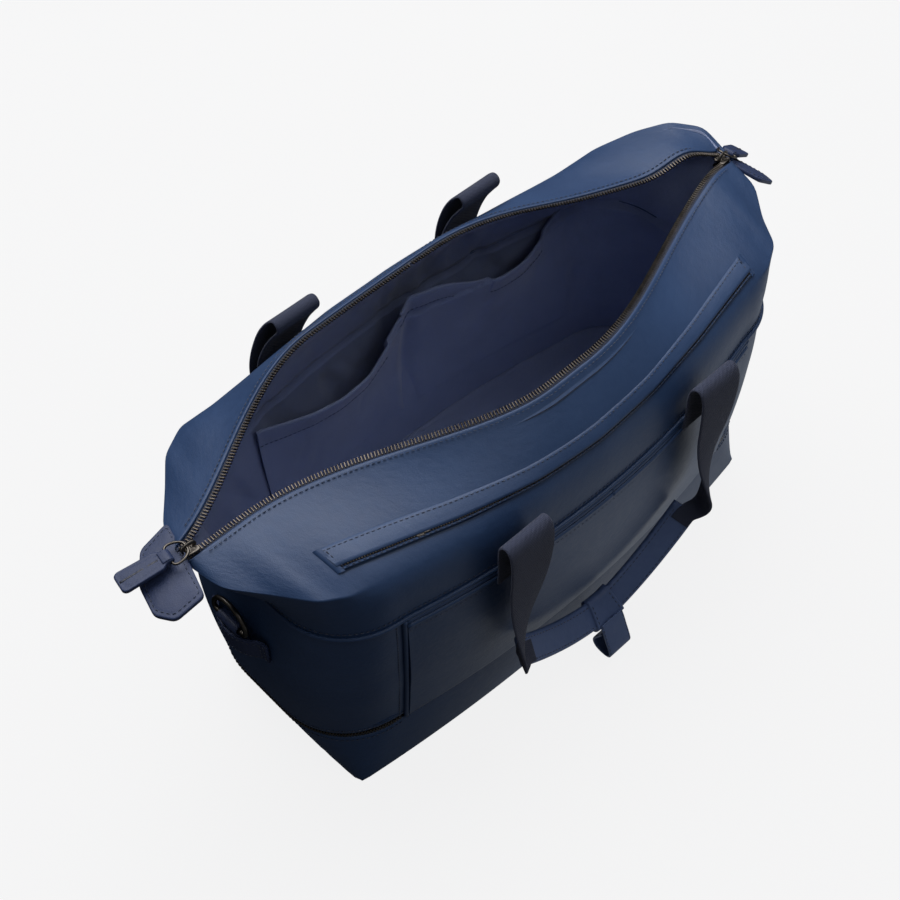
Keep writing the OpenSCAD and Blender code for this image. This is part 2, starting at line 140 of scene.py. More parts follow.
def woven(name, dark, light, nu, nv, twill=2, depth=0.0003, rough=0.85, sheen=0.3, fuzz=1.0):
    """Woven cloth: nu warp and nv weft threads per metre, in the mesh's own metres."""
    m, nt, b = new_mat(name)
    uv = node(nt, "ShaderNodeTexCoord").outputs["UV"]
    sep = node(nt, "ShaderNodeSeparateXYZ"); nt.links.new(uv, sep.inputs[0])
    U = mathn(nt, "MULTIPLY", sep.outputs[0], float(nu)); V = mathn(nt, "MULTIPLY", sep.outputs[1], float(nv))
    fu = mathn(nt, "FRACT", U); fv = mathn(nt, "FRACT", V)
    hu = mathn(nt, "SINE", mathn(nt, "MULTIPLY", fu, math.pi)); hv = mathn(nt, "SINE", mathn(nt, "MULTIPLY", fv, math.pi))
    k = mathn(nt, "FRACT", mathn(nt, "DIVIDE", mathn(nt, "ADD", mathn(nt, "FLOOR", U), mathn(nt, "FLOOR", V)), float(twill)))
    over = mathn(nt, "GREATER_THAN", k, 0.45)
    h = mathn(nt, "ADD", mathn(nt, "MULTIPLY", over, hu), mathn(nt, "MULTIPLY", mathn(nt, "SUBTRACT", 1.0, over), mathn(nt, "MULTIPLY", hv, 0.8)))
    ns = node(nt, "ShaderNodeTexNoise", Scale=500.0 * fuzz, Detail=4.0, Roughness=0.7); nt.links.new(uv, ns.inputs["Vector"])
    big = node(nt, "ShaderNodeTexNoise", Scale=25.0, Detail=3.0); nt.links.new(uv, big.inputs["Vector"])
    c = mathn(nt, "ADD", mathn(nt, "MULTIPLY", h, 0.5), mathn(nt, "ADD", mathn(nt, "MULTIPLY", ns.outputs[0], 0.35), mathn(nt, "MULTIPLY", big.outputs[0], 0.3)))
    nt.links.new(ramp(nt, c, [(0.25, dark), (0.85, light)]), b.inputs["Base Color"])
    hh = mathn(nt, "ADD", h, mathn(nt, "MULTIPLY", ns.outputs[0], 0.5))
    bump = node(nt, "ShaderNodeBump", Strength=0.7, Distance=depth); nt.links.new(hh, bump.inputs["Height"])
    nt.links.new(bump.outputs[0], b.inputs["Normal"])
    b.inputs["Roughness"].default_value = rough
    b.inputs["Sheen Weight"].default_value = sheen; b.inputs["Sheen Roughness"].default_value = 0.4
    return m
def metal(name, col, rough=0.32):
    m, nt, b = new_mat(name)
    oc = node(nt, "ShaderNodeTexCoord").outputs["Object"]
    ns = node(nt, "ShaderNodeTexNoise", Scale=900.0, Detail=4.0); nt.links.new(oc, ns.inputs["Vector"])
    sc = node(nt, "ShaderNodeTexNoise", Scale=120.0, Detail=6.0, Roughness=0.7); nt.links.new(oc, sc.inputs["Vector"])
    nt.links.new(ramp(nt, sc.outputs[0], [(0.35, tuple(x * 0.7 for x in col)), (0.7, tuple(min(1, x * 1.5) for x in col))]), b.inputs["Base Color"])
    nt.links.new(mathn(nt, "ADD", mathn(nt, "MULTIPLY", ns.outputs[0], 0.22), rough - 0.1), b.inputs["Roughness"])
    bump = node(nt, "ShaderNodeBump", Strength=0.15, Distance=0.0001); nt.links.new(ns.outputs[0], bump.inputs["Height"]); nt.links.new(bump.outputs[0], b.inputs["Normal"])
    b.inputs["Metallic"].default_value = 1.0
    return m

NAVY = leather("navy_leather", (0.018, 0.043, 0.112), (0.026, 0.058, 0.142), rough=0.46, coat=0.03, spec=0.36)
TRIM = leather("trim_leather", (0.018, 0.030, 0.080), (0.026, 0.041, 0.104), rough=0.5, grain=1.4, coat=0.02, spec=0.34)
# grip, keeper band and keeper loop: the trim leather at about twice its albedo, painted light for the extra light these
# faces catch facing front and up
GRIP_PAINTED_LIGHT = leather("grip_leather_painted_light", (0.060, 0.096, 0.212), (0.086, 0.130, 0.270), rough=0.5, grain=1.4, coat=0.02, spec=0.34)
EDGE = leather("painted_edge", (0.008, 0.010, 0.022), (0.014, 0.016, 0.034), rough=0.5)
LINING = woven("lining_fabric", (0.115, 0.150, 0.275), (0.240, 0.290, 0.480), 1600, 1600, twill=2, depth=0.00012, rough=0.46, sheen=0.25)
HEM = woven("hem_fabric", (0.130, 0.165, 0.300), (0.230, 0.280, 0.460), 1500, 1500, twill=2, depth=0.00012, rough=0.6, sheen=0.25)
TAPE = woven("zip_tape", (0.006, 0.009, 0.022), (0.020, 0.028, 0.060), 1700, 1100, twill=2, depth=0.0002, rough=0.8)
WEB = woven("navy_webbing", (0.011, 0.014, 0.031), (0.042, 0.052, 0.098), 900, 1100, twill=4, depth=0.0005, rough=0.9, sheen=0.10, fuzz=1.6)
THREAD = woven("thread", (0.010, 0.018, 0.045), (0.030, 0.048, 0.100), 2500, 2500, twill=2, depth=0.0001, rough=0.6)
METAL = metal("gunmetal", (0.10, 0.090, 0.080))
TEETH = metal("zip_teeth", (0.085, 0.074, 0.064), rough=0.36)
BOARD = woven("board_cloth", (0.010, 0.012, 0.02), (0.02, 0.024, 0.04), 1200, 1200, rough=0.9)

# ------------------------------------------------------------------ mesh helpers (mm in, metres out)
def make(name, V, F, mat, uv=None, smooth=True):
    me = bpy.data.meshes.new(name)
    V = np.asarray(V, float).reshape(-1, 3) / 1000.0
    me.from_pydata(V.tolist(), [], [tuple(int(i) for i in f) for f in F])
    me.validate(); me.update()
    if uv is not None:
        lay = me.uv_layers.new(name="UVMap")
        uv = np.asarray(uv, float).reshape(-1, 2)
        li = np.zeros(len(me.loops), np.int32); me.loops.foreach_get("vertex_index", li)
        lay.data.foreach_set("uv", uv[li].astype(np.float32).ravel())
    me.polygons.foreach_set("use_smooth", [smooth] * len(me.polygons))
    me.materials.append(mat)
    o = bpy.data.objects.new(name, me)
    bpy.context.scene.collection.objects.link(o)
    return o
def arc_uv(P):
    d1 = np.linalg.norm(np.diff(P, axis=0), axis=-1).mean(1); d2 = np.linalg.norm(np.diff(P, axis=1), axis=-1).mean(0)
    a = np.concatenate([[0], np.cumsum(d1)]) / 1000; b = np.concatenate([[0], np.cumsum(d2)]) / 1000
    return np.stack(np.meshgrid(b, a, indexing="xy"), -1)
def grid(name, P, mat, flip=False, thick=None, off=0.0, uv=None, wrap=False):
    P = np.asarray(P, float); nr, nc = P.shape[:2]
    idx = np.arange(nr * nc).reshape(nr, nc)
    if wrap: idx = np.concatenate([idx, idx[:, :1]], 1)
    a, b, c, d = idx[:-1, :-1], idx[:-1, 1:], idx[1:, 1:], idx[1:, :-1]
    F = np.stack([a, b, c, d], -1).reshape(-1, 4)
    if flip: F = F[:, ::-1]
    o = make(name, P, F, mat, arc_uv(P) if uv is None else uv)
    if thick:
        # the cut edges stay crisp, so sheets that meet edge to edge shade as one
        me = o.data; le = np.empty(len(me.loops), np.int32); me.loops.foreach_get("edge_index", le)
        rim = np.bincount(le, minlength=len(me.edges)) == 1
        (me.attributes.get("sharp_edge") or me.attributes.new("sharp_edge", "BOOLEAN", "EDGE")).data.foreach_set("value", rim)
        s = o.modifiers.new("thick", "SOLIDIFY"); s.thickness = thick / 1000; s.offset = off; s.use_even_offset = False
    return o
def frames(P, up):
    P = np.asarray(P, float)
    T = np.gradient(P, axis=0); T /= np.linalg.norm(T, axis=1)[:, None] + 1e-12
    up = np.broadcast_to(np.asarray(up, float), P.shape)
    S = np.cross(T, up); S /= np.linalg.norm(S, axis=1)[:, None] + 1e-12
    N = np.cross(S, T)
    return T, S, N
def sweep(name, P, up, sec, mat, caps=True, closed=False, scale=None):
    """Section sec (k,2) carried along P: first number along the side, second along up."""
    P = np.asarray(P, float); T, S, N = frames(P, up); sec = np.asarray(sec, float); k = len(sec); n = len(P)
    sc = np.ones(n) if scale is None else np.asarray(scale, float)
    V = P[:, None] + (S[:, None] * sec[None, :, :1] + N[:, None] * sec[None, :, 1:]) * sc[:, None, None]
    idx = np.arange(n * k).reshape(n, k); nx = np.roll(idx, -1, 1)
    F = np.stack([idx[:-1], nx[:-1], nx[1:], idx[1:]], -1).reshape(-1, 4)[:, ::-1].tolist()
    if caps: F += [idx[0].tolist(), idx[-1][::-1].tolist()]
    L = np.concatenate([[0], np.cumsum(np.linalg.norm(np.diff(P, axis=0), axis=1))]) / 1000
    w = np.concatenate([[0], np.cumsum(np.linalg.norm(np.diff(sec, axis=0), axis=1))]) / 1000
    uv = np.stack(np.meshgrid(w, L, indexing="xy"), -1)
    return make(name, V, F, mat, uv)
def circ(r, k=10, ry=None):
    a = np.arange(k) * 2 * math.pi / k
    return np.stack([r * np.cos(a), (ry or r) * np.sin(a)], -1)
def flat(w, t, k=3, edge=None):
    """Rounded flat section, w wide and t thick."""
    e = min(t / 2, edge or t / 2); pts = []
    for cx, cy, a0 in ((w / 2 - e, t / 2 - e, 0), (-w / 2 + e, t / 2 - e, 90), (-w / 2 + e, -t / 2 + e, 180), (w / 2 - e, -t / 2 + e, 270)):
        for i in range(k + 1):
            a = math.radians(a0 + 90 * i / k); pts.append((cx + e * math.cos(a), cy + e * math.sin(a)))
    seg = []
    for i in range(len(pts)):
        p, q = np.array(pts[i]), np.array(pts[(i + 1) % len(pts)])
        m = max(1, int(np.linalg.norm(q - p) // 4))
        for j in range(m): seg.append(p + (q - p) * j / m)
    return np.array(seg)
def resample(P, n=None, step=None):
    P = np.asarray(P, float); L = np.concatenate([[0], np.cumsum(np.linalg.norm(np.diff(P, axis=0), axis=1))])
    if n is None: n = max(2, int(round(L[-1] / step)) + 1)
    s = np.linspace(0, L[-1], n)
    return np.stack([np.interp(s, L, P[:, i]) for i in range(3)], -1)
def smooth_path(P, it=2):
    P = np.array(P, float)
    for _ in range(it): P[1:-1] = (P[:-2] + 2 * P[1:-1] + P[2:]) / 4
    return P
def bez(P, n=24):
    """Catmull-Rom through the given points."""
    P = np.asarray(P, float); Q = np.vstack([2 * P[0] - P[1], P, 2 * P[-1] - P[-2]]); out = []
    for i in range(1, len(Q) - 2):
        t = np.linspace(0, 1, n, endpoint=False)[:, None]
        a, b, c, d = Q[i - 1], Q[i], Q[i + 1], Q[i + 2]
        out.append(0.5 * ((2 * b) + (-a + c) * t + (2 * a - 5 * b + 4 * c - d) * t ** 2 + (-a + 3 * b - 3 * c + d) * t ** 3))
    return np.vstack(out + [P[-1:]])
def stitches(name, P, N, mat=None, length=2.7, gap=1.3, r=0.34):
    """Row of thread stitches along P, sunk half into the surface with normals N."""
    P = np.asarray(P, float); N = np.broadcast_to(np.asarray(N, float), P.shape)
    L = np.concatenate([[0], np.cumsum(np.linalg.norm(np.diff(P, axis=0), axis=1))])
    n = int(L[-1] // (length + gap))
    if n < 1: return None
    c = (np.arange(n) + 0.5) * L[-1] / n
    at = lambda s: np.stack([np.interp(s, L, P[:, i]) for i in range(3)], -1)
    nn = np.stack([np.interp(c, L, N[:, i]) for i in range(3)], -1); nn /= np.linalg.norm(nn, axis=1)[:, None]
    a, b = at(c - length / 2), at(c + length / 2); t = b - a; t /= np.linalg.norm(t, axis=1)[:, None] + 1e-9
    s = np.cross(t, nn); k = 6
    ang = np.arange(k) * 2 * math.pi / k
    rings = []
    for f, rr, lift in ((-0.5, 0.35, -0.25), (-0.34, 0.95, 0.1), (0, 1.1, 0.22), (0.34, 0.95, 0.1), (0.5, 0.35, -0.25)):
        cen = at(c) + t * length * f + nn * lift * r * 1.6
        rings.append(cen[:, None] + (s[:, None] * np.cos(ang)[None, :, None] + nn[:, None] * np.sin(ang)[None, :, None]) * r * rr)
    V = np.stack(rings, 1)  # n, 5, k, 3
    F = []
    for i in range(n):
        o = i * 5 * k
        for q in range(4):
            for j in range(k):
                F.append((o + q * k + j, o + q * k + (j + 1) % k, o + (q + 1) * k + (j + 1) % k, o + (q + 1) * k + j))
        F.append(tuple(o + j for j in range(k))[::-1]); F.append(tuple(o + 4 * k + j for j in range(k)))
    uv = np.zeros((V.size // 3, 2)); uv[:, 0] = np.tile(np.arange(k) * 0.0003, n * 5); uv[:, 1] = np.tile(np.repeat(np.arange(5) * 0.0007, k), n)
    return make(name, V, F, mat or THREAD, uv)
def boxes(name, C, T, S, N, half, mat, bevel=0.25, uvs=True):
    """Many small bevelled blocks: centres C, frames T, S, N, half sizes along T, S, N."""
    base = []
    for z in (-1, 1):
        for (x, y) in ((-1, -1), (1, -1), (1, 1), (-1, 1)): base.append((x, y, z))
    base = np.array(base, float); hb = np.array(half) - bevel
    pts = []
    for ax in range(3):
        e = np.array([hb[0], hb[1], hb[2]]); e[ax] = half[ax]
        pts.append(base * e)
    B = np.stack(pts, 1).reshape(-1, 3)  # 24 points: vertex v, face-direction ax -> 3v+ax
    def q(vs, ax): return [3 * v + ax for v in vs]
    F0 = [q((0, 3, 7, 4), 0)[::1], q((1, 5, 6, 2), 0), q((0, 4, 5, 1), 1), q((3, 2, 6, 7), 1), q((0, 1, 2, 3), 2)[::-1], q((4, 5, 6, 7), 2)]
    E = [(0, 1), (1, 2), (2, 3), (3, 0), (4, 5), (5, 6), (6, 7), (7, 4), (0, 4), (1, 5), (2, 6), (3, 7)]
    for a, b_ in E:
        axs = [ax for ax in range(3) if base[a][ax] == base[b_][ax]]
        F0.append([3 * a + axs[0], 3 * b_ + axs[0], 3 * b_ + axs[1], 3 * a + axs[1]])
    for v in range(8): F0.append([3 * v, 3 * v + 1, 3 * v + 2])
    cen = B.mean(0)
    G = []
    for f in F0:
        p = B[f]; nn = np.cross(p[1] - p[0], p[2] - p[0])
        G.append(f if nn @ (p.mean(0) - cen) > 0 else f[::-1])
    C = np.asarray(C, float); n = len(C)
    V = C[:, None] + B[None, :, :1] * T[:, None] + B[None, :, 1:2] * S[:, None] + B[None, :, 2:] * N[:, None]
    F = [[24 * i + j for j in f] for i in range(n) for f in G]
    return make(name, V, F, mat, np.tile(B[:, :2] / 1000, (n, 1)), smooth=False)

DONE = []
def done(o, slot, *rep):
    if slot == "thread":
        # for stitches a slot name is worked out from what they are sewn on; nothing reads it
        n = rep[0] if rep else ""
        slot = "trim_leather" if any(k in n for k in ("tab", "puller", "bridge", "grip", "keeper")) else "lining_fabric" if any(k in n for k in ("lining", "slip")) else "navy_leather"
    if rep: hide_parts(*rep)
    DONE.append(o)
    return o
def noise1(x, seed, scale):
    r = np.random.RandomState(seed); k = r.uniform(0.5, 1.6, 6) / scale; p = r.uniform(0, 6.28, 6)
    return sum(np.sin(np.asarray(x) * ki * 2 * math.pi + pi_) for ki, pi_ in zip(k, p)) / 6
def noise2(x, y, seed, sx, sy):
    r = np.random.RandomState(seed); out = 0
    for _ in range(7):
        a, b_, p = r.uniform(-1, 1) / sx, r.uniform(-1, 1) / sy, r.uniform(0, 6.28)
        out = out + np.sin(2 * math.pi * (np.asarray(x) * a + np.asarray(y) * b_) + p)
    return out / 7

# ------------------------------------------------------------------ plan of the bag
def pa(z):
    l = (z - ZIP_Z) / (BELT_Z - ZIP_Z)
    return mix(BASE_A, ZIP_A, z / ZIP_Z) if z < ZIP_Z else mix(ZIP_A, BELT_A, l) + 4 * math.sin(math.pi * min(1, l))
def lv(z): return (z - ZIP_Z) / (BELT_Z - ZIP_Z)
def pd(z): return mix(87, 92, z / ZIP_Z) if z < ZIP_Z else mix(92, 105, lv(z))
def pb(z): return mix(17, 18, z / ZIP_Z) if z < ZIP_Z else mix(18, 23, lv(z))
def pr(z): return mix(4, 66, (z / ZIP_Z) ** 0.75) if z < ZIP_Z else mix(66, 58, lv(z))
US = 0.6   # share of the columns used up to the pocket's side seam
NU = 100
UU = np.linspace(0, 1, NU + 1)
ZT = np.arange(0, 221, 4.0)
def quarter(z, o=0.0, bulge=0.0):
    """Quarter plan from the front middle to the end middle at height z: NU+1 points (x, |y|)."""
    a, d, r, b = pa(z) - o, pd(z) - o, max(2, pr(z) - o), pb(z)
    c, e = a - r, d - r
    x = np.linspace(-c, c, 161); top = np.stack([x, d + b * (1 - (x / c) ** 2)], -1)
    t = np.radians(np.linspace(90, 0, 41))[1:]; arc = np.stack([c + r * np.cos(t), e + r * np.sin(t)], -1)
    end = np.stack([np.full(40, a), np.linspace(e, -e, 41)[1:]], -1)
    arc2 = np.stack([c + r * np.cos(-t[::-1]), -e - r * np.sin(t[::-1])], -1)
    Q = np.vstack([top, arc, end])
    L = np.concatenate([[0], np.cumsum(np.linalg.norm(np.diff(Q, axis=0), axis=1))])
    s = np.arange(0, L[-1], 1.0); Q = np.stack([np.interp(s, L, Q[:, i]) for i in range(2)], -1)
    k = max(3, int(min(26, r * 0.7))) | 1
    w = np.hanning(k + 2)[1:-1]; w /= w.sum(); h = k // 2
    Qs = Q.copy()
    for i in range(2): Qs[h:-h, i] = np.convolve(Q[:, i], w, "valid")
    Q = Qs[np.argmin(np.abs(Qs[:len(Qs) // 2, 0])):]
    Q = Q[Q[:, 1] >= -0.6]
    L = np.concatenate([[0], np.cumsum(np.linalg.norm(np.diff(Q, axis=0), axis=1))])
    lp = np.interp(POCKET_X, Q[:, 0][: np.argmax(Q[:, 0]) + 1], L[: np.argmax(Q[:, 0]) + 1])
    xs = np.where(UU <= US, np.interp(UU / US * POCKET_X, Q[:, 0][: np.argmax(Q[:, 0]) + 1], L[: np.argmax(Q[:, 0]) + 1]), mix(lp, L[-1], (UU - US) / (1 - US)))
    P = np.stack([np.interp(xs, L, Q[:, i]) for i in range(2)], -1)
    P[0, 0] = 0; P[-1, 1] = 0
    return P
TAB = np.stack([quarter(z) for z in ZT])  # nz, NU+1, 2
def wq(u, z):
    """Point (x, |y|) of the wall at column u and height z, with soft bulges."""
    u = np.asarray(u, float); z = np.asarray(z, float); u, z = np.broadcast_arrays(u, z)
    i = np.clip(z / 4.0, 0, len(ZT) - 1.001); i0 = i.astype(int); fi = i - i0
    j = np.clip(u * NU, 0, NU - 1e-6); j0 = j.astype(int); fj = j - j0
    g = lambda a, b_: TAB[a, b_]
    p = (g(i0, j0) * ((1 - fi) * (1 - fj))[..., None] + g(i0 + 1, j0) * (fi * (1 - fj))[..., None]
         + g(i0, j0 + 1) * ((1 - fi) * fj)[..., None] + g(i0 + 1, j0 + 1) * (fi * fj)[..., None])
    return p
def W3(sx, sy, u, z, o=0.0):
    """3-D wall point in quadrant sx, sy, moved o outwards."""
    p = wq(u, z); e = 0.004
    t = wq(np.clip(np.asarray(u) + e, 0, 1), z) - wq(np.clip(np.asarray(u) - e, 0, 1), z)
    n = np.stack([-t[..., 1], t[..., 0]], -1); n /= np.linalg.norm(n, axis=-1)[..., None] + 1e-9
    zz = np.broadcast_to(np.asarray(z, float), p.shape[:-1]); uu = np.broadcast_to(np.asarray(u, float), p.shape[:-1])
    l = np.clip((zz - 66) / 147, 0, 1)
    puff = np.sin(math.pi * l) * (3.0 + 2.0 * np.cos(uu * 5.2)) * (zz > 64)
    q = p + n * (np.asarray(o) + puff)[..., None]
    q[..., 0] = np.where(uu <= 0, 0, q[..., 0]); q[..., 1] = np.where(uu >= 1, 0, q[..., 1])
    return np.stack([sx * q[..., 0], sy * q[..., 1], zz], -1)

# ------------------------------------------------------------------ mouth: closed line opened by the wall's lean
QUAD = {(-1, -1): (230, 8), (1, -1): (290, 15), (-1, 1): (300, 92), (1, 1): (304, 18)}   # (sx, sy): blend start and end
DX, DZ = 0.945, 0.327
BODY = {-1: "front_wall", 1: "back_wall"}
def weight(sx, sy, x, z):
    xs, xe = QUAD[(sx, sy)]; L = (xs - xe) * DX
    return sstep(((xs - np.abs(x)) * DX + (z - 280) * DZ) / L)
def opened(sx, sy, x, yc, zc):
    """Rest (open) place of a point that sits at |y| = yc, z = zc when the zip is closed."""
    x = np.asarray(x, float); yc = np.broadcast_to(np.asarray(yc, float), x.shape); zc = np.broadcast_to(np.asarray(zc, float), x.shape)
    zo = zc.copy(); yo = yc.copy()
    for _ in range(6):
        a = weight(sx, sy, x, zo) * CLOSE
        ry, rz = -yc + PIV_Y, zc - PIV_Z       # front wall sense: y negative is out
        y2 = ry * np.cos(a) - rz * np.sin(a); z2 = ry * np.sin(a) + rz * np.cos(a)
        yo, zo = -(y2 - PIV_Y), z2 + PIV_Z
    return np.stack([sx * np.broadcast_to(x, yo.shape), sy * yo, zo], -1)
def zc_line(sx, sy, x):
    x = np.asarray(x, float)
    if sx < 0: return END_Z + 1.0 - 2.0 * np.exp(-((x - 140) / 70.0) ** 2)
    return END_Z + 1.0 - 5.0 * np.exp(-((x - 145) / 55.0) ** 2) + (12.0 if sy > 0 else 4.0) * np.exp(-((x - 243) / 24.0) ** 2)
def mouth(sx, sy, x, yc, dz=0.0): return opened(sx, sy, np.asarray(x, float), yc, zc_line(sx, sy, x) + dz)
def join(o):
    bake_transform(o)
    return o
TAGS = {(-1, -1): "FL", (1, -1): "FR", (-1, 1): "BL", (1, 1): "BR"}
QUADS = list(TAGS)

# ------------------------------------------------------------------ upper sheet: belt -> shoulder -> mouth
KU = [0, .2, .4, .58, .70, .78, .86, .93, 1.0]
KS = {"FL": [(0, 121, 253), (60, 118, 254), (121, 110, 255), (178, 99, 257), (212, 92, 259), (231, 81, 261), (249, 55, 261), (271, 32, 268), (278, 0, 274.5)],
      "FR": [(0, 121, 253), (60, 118, 254), (121, 110, 255), (178, 100, 257), (216, 94, 259), (238, 82, 261), (254, 57, 262), (273, 33, 269), (279, 0, 275)],
      "BL": [(0, 121, 253), (60, 119, 255), (121, 112, 257), (176, 104, 260), (206, 102, 263), (229, 88, 264), (248, 62, 265), (270, 33, 270), (278, 0, 274.5)],
      "BR": [(0, 121, 253), (60, 118, 254), (121, 110, 256), (180, 100, 260), (218, 93, 268), (246, 74, 281), (266, 54, 290), (281, 30, 289), (280, 0, 277)]}
KS = {k: np.array(v, float) for k, v in KS.items()}
KM = [0, 60, 125, 185, 222, 240, 256, 268, 276]
_ud = np.linspace(-0.1, 1.1, 1201)
def _sm(vals, win=61):
    v = np.interp(np.clip(_ud, 0, 1), KU, vals)
    v = v + (v - 0) * 0
    lo = _ud < 0; hi = _ud > 1
    v[lo] = 2 * vals[0] - np.interp(-_ud[lo], KU, vals); v[hi] = 2 * vals[-1] - np.interp(2 - _ud[hi], KU, vals)
    w = np.hanning(win + 2)[1:-1]; w /= w.sum()
    return np.convolve(v, w, "same")
def _sme(vals, win=61):   # even at u = 0
    v = np.interp(np.abs(_ud), KU, vals); hi = _ud > 1; v[hi] = 2 * vals[-1] - np.interp(2 - _ud[hi], KU, vals)
    w = np.hanning(win + 2)[1:-1]; w /= w.sum()
    return np.convolve(v, w, "same")
MX = _sm(KM)
SH = {k: (_sm(v[:, 0]), _sme(v[:, 1]), _sme(v[:, 2])) for k, v in KS.items()}
def shoulder(q, u): return np.stack([np.interp(u, _ud, a) for a in SH[q]], -1)
def mouth_x(u): return np.interp(u, _ud, MX)
LEATHER_Y = 6.5
def S3(sx, sy, u, t, inset=0.0, last=LEATHER_Y):
    """Upper sheet: t 0 at the belt, 0.4 on the shoulder, 1 at the mouth's leather edge."""
    u = np.asarray(u, float); t = np.asarray(t, float); u, t = np.broadcast_arrays(u, t)
    b = W3(1, 1, u, np.full(u.shape, BELT_Z))
    s = shoulder(TAGS[(1 if sx > 0 else -1, 1 if sy > 0 else -1)], u); s[..., 1] = np.where(u >= 1, 0, s[..., 1])
    m = mouth(sx, 1 if sy > 0 else -1, mouth_x(u), last); m = np.stack([mouth_x(u), np.abs(m[..., 1]), m[..., 2]], -1)
    fold = sstep((u - 0.62) / 0.14)[..., None]
    d1 = s - b; d2 = m - s
    l1 = np.linalg.norm(d1, axis=-1, keepdims=True); l2 = np.linalg.norm(d2, axis=-1, keepdims=True)
    ts = 0.5 * d1 / l1 + 0.5 * d2 / l2; ts /= np.linalg.norm(ts, axis=-1, keepdims=True)
    up = np.array([0, 0, 1.0])
    e1 = mix(ts, d1 / l1 + 0.35 * up, fold); g1 = mix(ts, d2 / l2 + np.array([0, 0, 0.10]), fold)
    b1 = up * 0.8 + 0.2 * d1 / l1
    def herm(p, q, tp, tq, x):
        x = x[..., None]
        return (2 * x ** 3 - 3 * x ** 2 + 1) * p + (x ** 3 - 2 * x ** 2 + x) * tp + (3 * x ** 2 - 2 * x ** 3) * q + (x ** 3 - x ** 2) * tq
    lo = herm(b, s, b1 * l1, e1 * l1, np.clip(t / 0.4, 0, 1))
    hi = herm(s, m, g1 * l2 * 0.8, (0.9 * d2 / l2 - np.array([0, 0, 0.05])) * l2, np.clip((t - 0.4) / 0.6, 0, 1))
    p = np.where((t <= 0.4)[..., None], lo, hi)
    # soft dents and puffs, none on the belt or on the mouth line
    win = np.sin(math.pi * np.clip(t, 0, 1)) ** 0.8 * (0.35 + 0.65 * (1 - fold[..., 0]))
    seed = 31 if sy < 0 else 47
    nn = noise2(sx * p[..., 0], p[..., 2] + p[..., 1] * 0.6, seed, 160, 60) * 1.7 + noise2(sx * p[..., 0], p[..., 1], seed + 1, 60, 40) * 0.5
    dirn = np.stack([p[..., 0] * 0.0, np.ones_like(t) * 0.55, np.ones_like(t) * 0.83], -1)
    p = p + dirn * (nn * win - inset)[..., None]
    p[..., 0] = np.where(u <= 0, 0, p[..., 0]); p[..., 1] = np.where(u >= 1, LEATHER_Y * sstep((t - 0.4) / 0.6), p[..., 1])
    return np.stack([sx * p[..., 0], sy * p[..., 1], p[..., 2]], -1)

# ------------------------------------------------------------------ base tray
def ring_cols(n=NU // 2):
    out = []
    a = np.linspace(0, 1, n + 1)
    for sx, sy, us in ((1, -1, a[:-1]), (1, 1, a[::-1][:-1]), (-1, 1, a[:-1]), (-1, -1, a[::-1][:-1])):
        out += [(sx, sy, u) for u in us]
    return out
RC = ring_cols()
def ringrow(z, o=0.0):
    return np.stack([W3(sx, sy, np.array([u]), np.array([z]), o)[0] for sx, sy, u in RC])
rows = [ringrow(z, o) for z, o in ((0.6, -0.9), (1.6, -0.2), (3.2, 0.2), (8, .5), (16, .9), (26, 1.1), (36, 1.0), (46, .6), (53, .2), (55.6, 0.0), (56.6, -0.4), (57.0, -1.2), (56.2, -2.6), (50, -3.0), (30, -3.0), (8, -3.0), (5, -3.4))]
under = [rows[0] * np.array([f, f, 0]) + np.array([0, 0, 0.02]) for f in (0.0005, .3, .6, .85, .97)] + [rows[0] * np.array([.994, .994, 0]) + np.array([0, 0, 0.05])]
inner = [rows[-1] * np.array([f, f, 0]) + np.array([0, 0, 4.4]) for f in (.98, .7, .3, .0005)]
done(grid("base_tray_shell", np.array(under + rows + inner), NAVY, wrap=True), "navy_leather", "base_tray")
def ringpts(z, o, lo=0.0):
    P = np.array([W3(sx, sy, np.array([u]), np.array([z]), o)[0] for sx, sy, u in ring_cols(NU)])
    return np.vstack([P, P[:1]])
def cut_ring(P, sx_=None):
    """The ring without its front run between the pocket's side seams, starting at the right seam."""
    n = len(P) - 1; k = int(NU * US) + 1
    return P[k:n - k + 1]
zipP = cut_ring(ringpts(ZIP_Z, -0.8)); outN = zipP - cut_ring(ringpts(ZIP_Z, -5)); outN /= np.linalg.norm(outN, axis=1)[:, None]
def zipline(P, Nn, pitch=2.4, half=(0.62, 1.35, 0.9), side=(0, 0, 1), shift=0.0, name="teeth", mat=None):
    L = np.concatenate([[0], np.cumsum(np.linalg.norm(np.diff(P, axis=0), axis=1))])
    s = np.arange(pitch * (0.5 + shift), L[-1] - pitch * .3, pitch)
    at = lambda s, A: np.stack([np.interp(s, L, A[:, i]) for i in range(3)], -1)
    C = at(s, P); T = at(s + 0.8, P) - at(s - 0.8, P); T /= np.linalg.norm(T, axis=1)[:, None]
    N = at(s, Nn); N /= np.linalg.norm(N, axis=1)[:, None]; S = np.cross(N, T); S /= np.linalg.norm(S, axis=1)[:, None]; N = np.cross(T, S)
    return boxes(name, C, T, S, N, half, mat or TEETH, bevel=0.28)
def band(name, P, Nn, z0, z1, mat, thick=0.8):
    Q = np.stack([P + np.array([0, 0, z]) for z in np.linspace(z0, z1, 4)])
    return grid(name, Q, mat, thick=thick, off=0)
st = lambda o: o
done(band("base_zip_tape", zipP - outN * 0.9, outN, -7.5, -0.35, TAPE), "lining_fabric", "tray_zip_lower")
done(zipline(zipP + np.array([0, 0, -0.95]), outN, name="base_zip_teeth"), "gunmetal", "tray_zip_lower")
done(stitches("base_edge_stitch", cut_ring(ringpts(53.4, .45)), outN), "thread", "base_tray")
done(band("body_zip_tape", zipP - outN * 0.9, outN, 0.35, 7.5, TAPE), "lining_fabric", "upper_zip_ring")
done(zipline(zipP + np.array([0, 0, 0.95]), outN, shift=0.5, name="body_zip_teeth"), "gunmetal", "upper_zip_ring")
